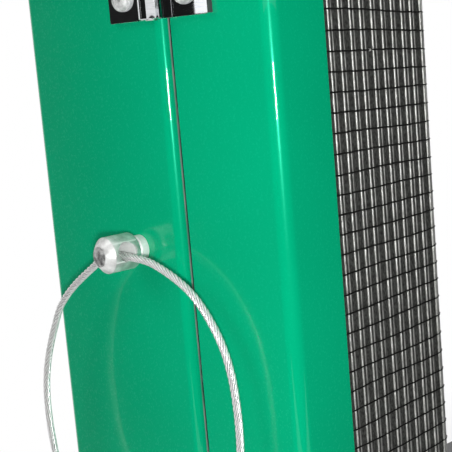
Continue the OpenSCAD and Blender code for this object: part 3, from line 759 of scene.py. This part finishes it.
# %% Hinge pins and springs
pin_long, coil_turns, coil_pitch = hinge_h + 0.6, 5.5, 1.1
riveted_end = [(0, 0), (0.7, 0.02), (1.05, 0.12), (1.2, 0.35)]
pin_outline = [*riveted_end, *((r, pin_long - h) for r, h in reversed(riveted_end))]
for name, height in hinges.items():
    bm = bmesh.new()
    lathe(bm, pin_outline, at(hinge_x, post_front + hinge_depth, height - pin_long / 2), 32)
    finish_piece(f"{name}_pin_rod", bm, "post", bright_steel, [f"{name}_hinge_pin"])
    coil_foot = at(hinge_x, post_front + hinge_depth, height - coil_turns * coil_pitch / 2)
    wound_spring(
        f"{name}_torsion_spring",
        helix(1.75, coil_turns, coil_pitch, coil_foot),
        0.6,
        "post",
        f"{name}_hinge_spring",
    )

# %% [markdown]
# The leaves are held by small screws with a cross recess. Their heads are low pans, nearly flat
# on top and round towards the rim, and they're spun from their outline. The recess is cut with
# two thin crossed blocks, and each screw stands at another turn, as screws do.

# %% Helper that cuts one shape from another
def carve(piece, cutter_bm):
    """Takes the cutter's shape away from the piece and keeps the result as its mesh."""
    bmesh.ops.recalc_face_normals(cutter_bm, faces=cutter_bm.faces[:])
    mesh = bpy.data.meshes.new("cutter")
    cutter_bm.to_mesh(mesh)
    cutter_bm.free()
    cutter = bpy.data.objects.new("cutter", mesh)
    bpy.context.scene.collection.objects.link(cutter)
    difference = piece.modifiers.new("cut", "BOOLEAN")
    difference.object = cutter
    difference.solver = "EXACT"
    difference.use_self = True
    bpy.context.view_layer.update()
    made = bpy.data.meshes.new_from_object(piece.evaluated_get(bpy.context.evaluated_depsgraph_get()))
    piece.modifiers.remove(difference)
    piece.data = made
    bpy.data.objects.remove(cutter)
    made.shade_smooth()
    made.set_sharp_from_angle(angle=math.radians(sharp_angle))
    print(piece.name, "is cut and has", len(made.polygons), "faces")


print("cutting helper ready")


# %% Leaf screws
head = [
    (0, -1.5), (0.8, -1.48), (1.5, -1.38), (1.95, -1.2), (2.22, -0.95), (2.38, -0.6),
    (2.45, -0.2), (2.42, 0.0),
]
shank = [(1.25, 0.0), (1.25, 4.5), (1.1, 4.6), (0, 4.6)]
recess, recess_height = Vector((2.3, 0.42, 1.5)) * mm, -1.3 * mm
screw_reach, screw_shift, screw_rise = 9.2, -0.7, 7.55


def leaf_screw_places(side):
    """The four screws on one side of the pin, on the front of the leaves."""
    for height in hinges.values():
        for z in (-screw_rise, screw_rise):
            yield in_post(hinge_x + side * screw_reach + screw_shift, -leaf_t, height + z)


for side, body in ((-1, "post"), (1, "wing")):
    bm, cross = bmesh.new(), bmesh.new()
    for number, place in enumerate(leaf_screw_places(side)):
        lathe(bm, [*head, *shank], place, 36)
        for turn in (20 + 31 * number, 110 + 31 * number):
            spin = Matrix.Rotation(math.radians(turn), 4, "Z")
            cut = Matrix.LocRotScale((0, 0, recess_height), None, recess)
            bmesh.ops.create_cube(cross, size=1.0, matrix=place @ spin @ cut)
    name, node = f"{body}_leaf_dome_screws", f"{body}_leaf_screws"
    screws = finish_piece(name, bm, body, head_steel, [node])
    carve(screws, cross)

# %% [markdown]
# ## Pull pin
#
# The knob is turned from bright bar: a rough, slightly domed face, a wide chamfer and a plain
# barrel. A cross hole for the rope goes through it, countersunk on both sides so that the rope
# isn't cut. It is spun from its outline first, and the hole is carved afterwards, as on a drill
# press. Then the faces on the front and in the hole get finishes of their own.

# %% Knob
knob_r, face_end, hole_r, hole_turn = 3.6, -10.2, 1.9, 10.0
knob_bm = bmesh.new()
lathe(
    knob_bm,
    [(0, -10.5), (0.9, -10.45), (1.6, -10.32), (2.0, -10.17), (2.2, -10.0), (3.52, -8.76),
     (knob_r, -8.6), (knob_r, -3.0), (3.5, -2.75), (3.2, -2.5), (1.6, -2.3), (1.6, -3.5), (0, -3.5)],
    in_post(0, 0, pin_height),
    64,
)
knob = finish_piece("pull_knob_turned", knob_bm, "pull_pin", satin_steel, ["pull_knob"])
drill_half = [
    (hole_r, 3.0), (hole_r + 0.12, 3.35), (hole_r + 0.4, 3.7), (3.2, 4.2), (3.2, 8), (0, 8),
]
hole_middle = Vector((0, post_front + loop_depth, pin_height))
drill = bmesh.new()
lathe(
    drill,
    [*((r, -h) for r, h in reversed(drill_half)), *drill_half],
    at(*hole_middle) @ Matrix.Rotation(math.radians(90 - hole_turn), 4, "Y"),
    40,
)
carve(knob, drill)
drill_way = Vector((math.cos(math.radians(hole_turn)), 0, math.sin(math.radians(hole_turn))))
knob.data.materials.append(face_steel)
knob.data.materials.append(matt_steel)
for face in knob.data.polygons:
    from_middle = face.center / mm - hole_middle
    across = from_middle - from_middle.dot(drill_way) * drill_way
    if face.center.y / mm - post_front < face_end:
        face.material_index = 1
    elif across.length < hole_r + 0.1:
        face.material_index = 2

# %% Bush
bush_bm = bmesh.new()
lathe(
    bush_bm,
    [(1.65, -1.7), (1.85, -1.9), (2.4, -1.9), (2.7, -1.6), (2.7, -0.12), (2.6, 0), (2.4, 0), (2.4, 5.1),
     (2.3, 5.2), (1.65, 5.2), (1.65, -1.7)],
    in_post(0, 0, pin_height),
    48,
)
finish_piece("pin_bush_collar", bush_bm, "post", matt_steel, ["pin_bush"])

# %% [markdown]
# Inside the post, a spring pushes a soft pad against the mast. The spring is wound as the hinge
# springs are, and it rides on the pull pin with its seat. The plain turned pieces keep the CAD
# shape: a copy of the node's triangles is joined again into flat faces, and its rims get a small
# bevel.

# %% Helper for pieces that keep their CAD shape
def dressed(node, body, material, rim, segments=2):
    """A piece with its CAD node's own shape and a small bevel on its rims, rim mm wide."""
    name = node + "_piece"
    finish_piece(name, copy_of(node), body, material, [node], rim, segments=segments)


print("dressing helper ready")

# %% Inside the pull pin
spring_front, spring_seat, spring_turns, pulled_share = 5.65, 13.0, 5, 0.66
pin_spring = wound_spring(
    "pin_return_spring",
    helix(2.7, spring_turns, 1.47, in_post(0, spring_front, pin_height)),
    0.7,
    "pull_pin",
    "pin_spring",
)
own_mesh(pin_spring)
dressed("pin_shaft", "pull_pin", bright_steel, 0.2)
dressed("spring_seat", "pull_pin", zinc, 0.12)
dressed("brake_pad", "pull_pin", pale_plastic, 0.25)
dressed("pin_housing", "post", zinc, 0.3)

# %% [markdown]
# ## Post and table clamp
#
# The mast stands on a flat bar and carries the post. Bars, jaw, core tube, guides and nuts are
# plain steel and plastic parts whose CAD shape is right, so they are dressed copies as well.

# %% Mast, core and guides
dressed("mast", "clamp", zinc, 0.4)
dressed("mast_screws", "clamp", zinc, 0.25)
dressed("core_tube", "post", zinc, 0.3)
dressed("lower_guide", "post", pale_plastic, 0.4)
dressed("upper_guide", "post", pale_plastic, 0.4)
dressed("guide_screws", "post", zinc, 0.2)
dressed("casing_spacers", "post", zinc, 0.2)
dressed("casing_nuts", "post", zinc, 0.2)
dressed("post_leaf_nuts", "post", zinc, 0.15)
dressed("wing_leaf_nuts", "wing", zinc, 0.15)
dressed("wing_bumpers", "post", rubber, 0.5)

# %% Bars, jaw and pads of the clamp
dressed("top_bar", "clamp", black_coat, 0.7, segments=3)
dressed("lower_jaw", "clamp", black_coat, 0.7, segments=3)
dressed("jaw_bolts", "clamp", zinc, 0.3)
dressed("jaw_nuts", "clamp", zinc, 0.25)
dressed("jaw_pad", "clamp", rubber, 0.4)
dressed("edge_pad", "clamp", rubber, 0.4)
dressed("pressure_pad", "pad", zinc, 0.2)
dressed("pad_rubber", "pad", rubber, 0.4)
dressed("pad_clip", "screw", bright_steel, 0.1)

# %% Cap and cord peg
dressed("top_cap", "post", black_plastic, 0.7, segments=3)
peg_depth, peg_foot = 21.75, 161.5
peg_bm = bmesh.new()
lathe(
    peg_bm,
    [(2, 0.2), (2.2, 0), (5.8, 0), (6, 0.25), (6, 1.2), (5.7, 1.6), (4.2, 2.5), (3.4, 3.3), (3.2, 4.2),
     (3.2, 5.4), (3.4, 6.1), (4.4, 7.1), (5.3, 7.9), (5.5, 8.3), (5.5, 9.1), (5.1, 9.5), (3.9, 9.5),
     (3.6, 9.25), (3.6, 6.8), (2, 6.8), (2, 0.2)],
    at(0, post_front + peg_depth, peg_foot),
    40,
)
finish_piece("waisted_cord_peg", peg_bm, "post", black_plastic, ["cord_peg"])
dressed("cord_peg_screw", "post", zinc, 0.25)

# %% [markdown]
# ## Clamp screw and hand knob
#
# The screw's thread is real: one tooth's outline is spun round the screw while it climbs by the
# pitch, 1.25 mm for this size, and the turns join into one skin. A plain foot and a plain neck
# with a groove for the pad's clip are spun onto its two ends.

# %% Clamp screw with its thread
screw_bm = bmesh.new()
pitch, thread_low, turns, turn_steps = 1.25, -83.0, 38, 28
tooth = [(3.28, 0.0), (3.28, 0.1), (3.9, 0.48), (3.93, 0.6), (3.9, 0.72), (3.28, 1.15), (3.28, 1.25)]
line = [screw_bm.verts.new((r * mm, 0, (thread_low + h) * mm)) for r, h in tooth]
edges = [screw_bm.edges.new(pair) for pair in zip(line, line[1:])]
bmesh.ops.spin(
    screw_bm, geom=line + edges, cent=(0, 0, 0), axis=(0, 0, 1), angle=math.tau * turns,
    steps=turn_steps * turns, dvec=(0, 0, pitch / turn_steps * mm), use_merge=False
)
bmesh.ops.remove_doubles(screw_bm, verts=screw_bm.verts[:], dist=0.00001)
bmesh.ops.holes_fill(screw_bm, edges=[e for e in screw_bm.edges if e.is_boundary], sides=0)
for v in screw_bm.verts:
    v.tag = True
lathe(
    screw_bm,
    [(0, -98), (3.6, -98), (3.9, -97.7), (3.9, -82.4), (3.3, -81.8), (0, -81.8)],
    Matrix.Identity(4),
    40,
)
lathe(
    screw_bm,
    [(0, -36), (3.3, -36), (3.9, -35.3), (3.93, -34.0), (3.6, -33.55), (3, -33.55), (3, -31.95),
     (2.5, -31.95), (2.5, -31.15), (3, -31.15), (3, -28.9), (2.7, -28.6), (0, -28.6)],
    Matrix.Identity(4),
    40,
)
finish_piece(
    "threaded_clamp_screw", screw_bm, "screw", thread_steel, ["clamp_screw"], sharp=30
)
dressed("hand_knob", "screw", black_plastic, 0.6, segments=3)
dressed("knob_cap", "screw", black_plastic, 0.35)

# %% [markdown]
# ## Net
#
# The net's end wraps round the core and is covered by the casing's flanges. It is a closed
# black weave: pairs of round, slightly shiny cords stand on a flat ground cloth, and thin threads
# tie them down in rows. The ground cloth is a bent sheet, the cords are spun from a wavy
# outline that is narrow at every thread, and the threads are thin tubes round the whole end.

# %% Plan of the net's end
net_left, net_right, net_back, net_front, net_corner = -31.85, 40.45, 43.5, 8.6, 3.0
net_low, net_high, band_high = 14.5, 138.0, 152.5


def net_plan(inset):
    """Points in mm round the net's end, from its right edge to its left, inset from its outside."""
    r = net_corner - inset
    left, right, rear = net_left + inset, net_right - inset, net_back - inset
    arc = [(r * math.cos(a), r * math.sin(a)) for a in [math.radians(15 * i) for i in range(1, 6)]]
    knots = [Vector((right, net_front)), Vector((right, rear - r))]
    knots += [Vector((right - r + long, rear - r + short)) for long, short in arc]
    knots += [Vector((right - r, rear)), Vector((left + r, rear))]
    knots += [Vector((left + r - short, rear - r + long)) for long, short in arc]
    return [*knots, Vector((left, rear - r)), Vector((left, net_front))]


def lift(flat, z):
    """A point of the plan at a height, in metres."""
    return Vector((flat.x, post_front + flat.y, z)) * mm


outer_line, net_length = even_points(net_plan(0.0), 0.5)
print("net's end is", round(net_length, 1), "mm round")

# %% [markdown]
# The cloth gets its look from its shape, so its materials are simple. The cords are dark grey
# with a satin gloss that the light picks out as bright lines, and a fine bump for the yarn. The
# second cord of each pair gets a darker copy of the same material, a painted shade for the shadow
# that the first cord casts on it. The ground cloth and the threads are black and matt.

# %% Net materials
cord_grey, tree, shader, place = start_material("net_cord_grey", specular_ior_level=0.8, metallic=0.75)
yarn = grains(tree, place, 2400.0, 4.0, 0.7, stretch=(1.0, 1.0, 0.35))
tree.links.new(
    blend_colors(tree, yarn, (0.3, 0.303, 0.285), (0.72, 0.725, 0.69)), shader.inputs["Base Color"]
)
tree.links.new(spread(tree, yarn, 0.42, 0.55), shader.inputs["Roughness"])
raise_bump(tree, shader, yarn, 0.35, 0.00006)

# A darker copy of the cord material: painted shade on the second cord of each pair.
cord_painted_shade = plain_finish(
    "net_cord_painted_shade", (0.1, 0.101, 0.096), (0.3, 0.303, 0.29), (0.45, 0.6),
    grain=2400.0, bump=0.35, depth=0.00006, metallic=0.6
)
thread_black = plain_finish(
    "net_thread_black", (0.004, 0.004, 0.004), (0.01, 0.01, 0.009), (0.6, 0.8),
    grain=3000.0, bump=0.3, depth=0.00005, specular_ior_level=0.1
)

ground_black, tree, shader, place = start_material("net_ground_black", specular_ior_level=0.15)
weave = grains(tree, place, 2600.0, 3.0, 0.6, stretch=(1.0, 1.0, 0.6))
tree.links.new(
    blend_colors(tree, weave, (0.012, 0.012, 0.011), (0.075, 0.077, 0.072)), shader.inputs["Base Color"]
)
tree.links.new(spread(tree, weave, 0.5, 0.8), shader.inputs["Roughness"])
raise_bump(tree, shader, weave, 0.5, 0.0001)
print("net materials ready")

# %% Ground cloth
def cloth_band(inset, thickness, low, high):
    """A bent sheet round the net's end and its length in mm. It grows outwards from the inset."""
    bm = bmesh.new()
    flat, length = even_points(net_plan(inset), 1.0)
    line = [bm.verts.new(lift(p, low)) for p in flat]
    edges = [bm.edges.new(pair) for pair in zip(line, line[1:])]
    pull_up(bm, edges, high - low)
    right_face = max(bm.faces, key=lambda f: f.calc_center_median().x)
    if right_face.normal.x > 0:
        bmesh.ops.reverse_faces(bm, faces=bm.faces[:])
    bmesh.ops.solidify(bm, geom=bm.faces[:], thickness=thickness * mm)
    return bm, length


ground_bm, ground_length = cloth_band(0.8, 0.3, net_low, net_high)
ground = finish_piece("net_ground_cloth", ground_bm, "post", ground_black, ["net_end"])

# %% [markdown]
# The cords stand in pairs, one pair to a column, and a thread ties every row. Each cord swells
# between two threads and is drawn in at them. No two stand quite alike, so small random leans,
# shifts and widths come from one seeded generator, which gives the same net in every run.

# %% Upright cords
row_h, column_w, first_column = 3.655, 2.775, 0.775
rng = random.Random(7)
row_start = 95.0 - 21 * row_h
rows = int((net_high - row_start) / row_h)
fan_rate, fan_down, fan_up, level_height, level_depth = 0.0021, -0.07, 0.05, 97, 16
cord_inset, pair_shift, slip, most_lean = 0.36, 0.46, 0.05, 0.08
cord_swell = ((0.0, 0.62), (0.1, 0.93), (0.5, 1.0), (0.9, 0.93))


def place_on_plan(distance, inset):
    """A point on the net's plan, inset from its outside, at a distance from the right edge."""
    index = min(max(distance / net_length, 0.0), 1.0) * (len(outer_line) - 1)
    i = min(int(index), len(outer_line) - 2)
    ahead = (outer_line[i + 1] - outer_line[i]).normalized()
    outward = Vector((ahead.y, -ahead.x))
    return outer_line[i].lerp(outer_line[i + 1], index - i) - outward * inset


def tie_height(row, depth):
    """Height of a row's thread. The rows fan out a little between the flange and the net's back."""
    height = row_start + row * row_h
    slope = min(max(fan_rate * (level_height - height), fan_down), fan_up)
    return height + slope * (depth - level_depth)


def cord_outline(radius, depth):
    """Radius and height of one upright cord, narrow at each thread."""
    line = [(0.0, net_low + 0.1)]
    for row in range(-1, rows + 1):
        tie = tie_height(row, depth)
        full = radius * rng.uniform(0.93, 1.0)
        for share, size in cord_swell:
            z = tie + share * row_h
            if net_low + 0.15 < z < net_high - 0.05:
                line.append((full * size, z))
    return [*line, (0.0, net_high - 0.02)]


cords_bm = bmesh.new()
cord_mesh = bpy.data.meshes.new("one_cord")
columns = int(net_length / column_w)
for column in range(columns):
    lean = Matrix.Rotation(math.radians(rng.uniform(-most_lean, most_lean)), 4, "X")
    # The second cord of each pair takes material 1, the darker copy that paints its shade.
    for shift, radius, look in ((-pair_shift, 0.24, 0), (pair_shift, 0.2, 1)):
        distance = (column + first_column) * column_w + shift + rng.uniform(-slip, slip)
        middle = place_on_plan(distance, cord_inset)
        cord_bm = bmesh.new()
        cord_place = Matrix.Translation(lift(middle, 0)) @ lean
        lathe(cord_bm, cord_outline(radius, middle.y), cord_place, 7)
        for face in cord_bm.faces:
            face.material_index = look
        cord_bm.to_mesh(cord_mesh)
        cord_bm.free()
        cords_bm.from_mesh(cord_mesh)
net_cords = finish_piece("net_upright_cords", cords_bm, "post", cord_grey, sharp=70)
# Material 1 is the darker copy, painted shade for the second cords.
net_cords.data.materials.append(cord_painted_shade)
print(columns, "columns,", rows, "rows")

# %% Threads that tie the rows
thread_inset, thread_r, tremble, long_wave, short_wave = 0.2, 0.16, 0.05, 0.11, 0.73


def thread_line(row):
    """One row's thread round the net's end. It sags in long waves and trembles in short ones."""
    points = []
    sag = rng.uniform(0.05, 0.16)
    for i in range(0, len(outer_line), 3):
        middle = place_on_plan(net_length * i / (len(outer_line) - 1), thread_inset)
        wave = sag * math.sin(i * long_wave + row) + tremble * math.sin(i * short_wave + 2 * row)
        points.append(lift(middle, tie_height(row, middle.y) + wave))
    return points


thread_lines = [thread_line(row) for row in range(rows + 1)]
threads_bm = bmesh.new()
threads_bm.from_mesh(tube_mesh("net_threads", thread_lines, thread_r * mm, 0))
net_threads = finish_piece(
    "net_row_threads", threads_bm, "post", thread_black, sharp=80, solid=False
)

# %% [markdown]
# Weaving faults give a net life: here and there a thread is knotted. The knots are squashed
# spheres in a few places on the rows, each written as its column and its row.

# %% Knots
knot_r = 0.34
knots_bm = bmesh.new()
for column, row in ((0.5, 28), (5.5, 28), (14.3, 12), (22.6, 19), (30.2, 8), (9.5, 4), (35.0, 22)):
    middle = place_on_plan((column + first_column) * column_w, cord_inset)
    made = bmesh.ops.create_icosphere(knots_bm, subdivisions=2, radius=knot_r * mm)
    bmesh.ops.scale(knots_bm, vec=(1.2, 1.0, 0.85), verts=made["verts"])
    bmesh.ops.translate(knots_bm, vec=lift(middle, tie_height(row, middle.y)), verts=made["verts"])
net_knots = finish_piece("net_knots", knots_bm, "post", cord_grey, sharp=80)

# %% [markdown]
# The white band on top of the net is a folded woven tape, sewn on with two rows of stitches.
# Each stitch is a short bowed thread on the tape's inner side, where the tape lies on the net.

# %% White top band
tape_white, tree, shader, place = start_material("white_tape", sheen_weight=0.25)
ribs = add_node(
    tree,
    "ShaderNodeTexWave",
    {"Vector": place, "Scale": 420.0, "Distortion": 0.6, "Detail": 1.0},
    bands_direction="Z",
).outputs["Fac"]
soil = grains(tree, place, 60.0, 4.0)
tree.links.new(
    blend_colors(tree, soil, (0.66, 0.65, 0.61), (0.78, 0.78, 0.75)), shader.inputs["Base Color"]
)
tree.links.new(spread(tree, soil, 0.7, 0.9), shader.inputs["Roughness"])
raise_bump(tree, shader, ribs, 0.45, 0.00012)
band_inset = 0.12
band_bm, band_length = cloth_band(band_inset, 0.95, net_high, band_high)
band = finish_piece("net_top_band", band_bm, "post", tape_white, ["net_band"], rim=0.3)

# %% Stitches
stitch_rows, stitch_start, stitch_step, stitch_long, stitch_r = (139.6, 150.8), 1.5, 2.7, 2.0, 0.13
stitch_bow = ((0.0, 0.3), (0.15, 0.06), (0.5, 0.01), (0.85, 0.06), (1.0, 0.3))
stitches = []
for height in stitch_rows:
    distance = stitch_start
    while distance < net_length - stitch_start - stitch_long:
        stitches.append([
            lift(place_on_plan(distance + share * stitch_long, band_inset + inset), height)
            for share, inset in stitch_bow
        ])
        distance += stitch_step
stitch_bm = bmesh.new()
stitch_bm.from_mesh(tube_mesh("band_stitches", stitches, stitch_r * mm, 0))
band_stitches = finish_piece(
    "net_band_stitches", stitch_bm, "post", tape_white, sharp=80, solid=False
)
print(len(stitches), "stitches")

# %% Width of the net
print("net declared,", round(ground_length, 1), "mm wide")

# %% [markdown]
# ## Floor, light and world
#
# The floor is plain and pale. It lies below the hand knob's lowest place, which is the pad's
# travel under the place at rest. One small soft lamp beside the camera gives the crisp
# highlights along the bends, a big one in front and one behind fill the shadows, and the white
# world gives the background. The floor glows white too, where the camera or a reflection looks
# straight at it, more and more with the distance, and it keeps the object's shadow near the
# middle. Dark cards that only reflections see keep the flat chrome and paint from showing
# nothing but white, as flags do in a studio. A narrow white one gives the chrome leaf its
# bright stripe.

# %% Floor
pad_drop, floor_gap, floor_size = 18.75, 0.3, 6.0
floor_z = cad_box[0][2] - (pad_drop + floor_gap) * mm
floor_bm = bmesh.new()
bmesh.ops.create_grid(
    floor_bm, x_segments=1, y_segments=1, size=floor_size,
    matrix=Matrix.Translation((0, 0, floor_z))
)
floor_mesh = bpy.data.meshes.new("floor")
floor_bm.to_mesh(floor_mesh)
floor_bm.free()
floor = bpy.data.objects.new("floor", floor_mesh)
bpy.context.scene.collection.objects.link(floor)
print("floor at", round(floor_z / mm, 1), "mm")


# %% Floor paint
def seen_directly(tree):
    """1 for a ray from the camera, off a shiny surface or through a clear one, otherwise 0."""
    rays = add_node(tree, "ShaderNodeLightPath")
    seen = rays.outputs["Is Camera Ray"]
    for kind in ("Is Glossy Ray", "Is Transmission Ray"):
        inputs = {0: seen, 1: rays.outputs[kind]}
        seen = add_node(tree, "ShaderNodeMath", inputs, operation="MAXIMUM").outputs[0]
    return seen


floor_paint, tree, shader, place = start_material(
    "pale_floor", roughness=0.9, specular_ior_level=0.1
)
tone = grains(tree, place, 3.0, 2.0)
tree.links.new(
    blend_colors(tree, tone, (0.8, 0.8, 0.8), (0.83, 0.83, 0.83)), shader.inputs["Base Color"]
)
glow = add_node(tree, "ShaderNodeEmission", {"Color": (1, 1, 1, 1), "Strength": 1.0})
away = add_node(tree, "ShaderNodeVectorMath", {0: place}, operation="LENGTH")
fade = add_node(
    tree,
    "ShaderNodeMapRange",
    {"Value": away.outputs["Value"], "From Min": 0.15, "From Max": 0.42, "To Min": 0.5},
)
share = add_node(
    tree,
    "ShaderNodeMath",
    {0: seen_directly(tree), 1: fade.outputs["Result"]},
    operation="MULTIPLY",
)
mix = add_node(
    tree,
    "ShaderNodeMixShader",
    {0: share.outputs[0], 1: shader.outputs[0], 2: glow.outputs[0]},
)
tree.links.new(mix.outputs[0], tree.nodes["Material Output"].inputs["Surface"])
floor_mesh.materials.append(floor_paint)
print("floor paint ready")

# %% World
world = bpy.data.worlds.new("white_world")
bpy.context.scene.world = world
world.use_nodes = True
tree = world.node_tree
sky = tree.nodes["Background"]
level = add_node(
    tree, "ShaderNodeMapRange", {"Value": seen_directly(tree), "To Min": 0.1, "To Max": 1.0}
)
tree.links.new(level.outputs["Result"], sky.inputs["Strength"])
sky.inputs["Color"].default_value = (1, 1, 1, 1)
print("world ready")

# %% Lamps
def soft_lamp(name, place, target, size, watts):
    """A round lamp of a size in metres that shines from its place at the target."""
    data = bpy.data.lights.new(name, "AREA")
    data.shape = "DISK"
    data.size = size
    data.energy = watts
    lamp = bpy.data.objects.new(name, data)
    bpy.context.scene.collection.objects.link(lamp)
    aim = (Vector(target) - Vector(place)).to_track_quat("-Z", "Y")
    lamp.matrix_world = Matrix.Translation(Vector(place)) @ aim.to_matrix().to_4x4()


soft_lamp("key_lamp", (0.183, -0.306, 0.106), (0.01, -0.17, 0.08), 0.02, 0.4)
soft_lamp("fill_lamp", (-0.5, -1.1, 0.9), (0, -0.1, 0.0), 0.9, 6.0)
soft_lamp("rear_lamp", (-0.3, 1.1, 0.9), (0, -0.1, 0.0), 0.9, 7.0)
print("lamps ready")

# %% Cards for reflections
def reflection_card(name, middle, width, height, material):
    """An upright card, sizes in metres, that faces the post and that only reflections see."""
    bm = bmesh.new()
    middle = Vector(middle)
    to_post = Vector((0.01, -0.15, middle.z)) - middle
    turn = to_post.to_track_quat("Z", "Y").to_matrix().to_4x4()
    bmesh.ops.create_grid(bm, x_segments=1, y_segments=1, size=0.5)
    bmesh.ops.scale(bm, vec=(width, height, 1.0), verts=bm.verts[:])
    bmesh.ops.transform(bm, matrix=Matrix.Translation(middle) @ turn, verts=bm.verts[:])
    mesh = bpy.data.meshes.new(name)
    bm.to_mesh(mesh)
    bm.free()
    card = bpy.data.objects.new(name, mesh)
    bpy.context.scene.collection.objects.link(card)
    mesh.materials.append(material)
    card.visible_camera = card.visible_diffuse = card.visible_shadow = False
    card.visible_transmission = False


card_black, tree, shader, place = start_material("card_black", roughness=0.9, specular_ior_level=0.0)
tree.links.new(
    blend_colors(tree, grains(tree, place, 5.0), (0.02, 0.02, 0.02), (0.04, 0.04, 0.04)),
    shader.inputs["Base Color"],
)
card_white, tree, shader, place = start_material("card_white", emission_strength=1.0)
tree.links.new(
    blend_colors(tree, grains(tree, place, 5.0), (0.9, 0.9, 0.9), (1.0, 1.0, 1.0)),
    shader.inputs["Emission Color"],
)
card_foot = floor_z + 0.001
for name, x, y, width, top in (
    ("left_flag", -0.15, -0.44, 0.52, 0.4),
    ("front_flag", 0.404, -0.4, 1.1, 0.142),
    ("right_flag", 0.27, 0.086, 0.43, 0.4),
):
    reflection_card(name, (x, y, (card_foot + top) / 2), width, top - card_foot, card_black)
reflection_card("white_slit", (-0.178, -0.346, 0.156), 0.006, 0.04, card_white)
print("cards ready")
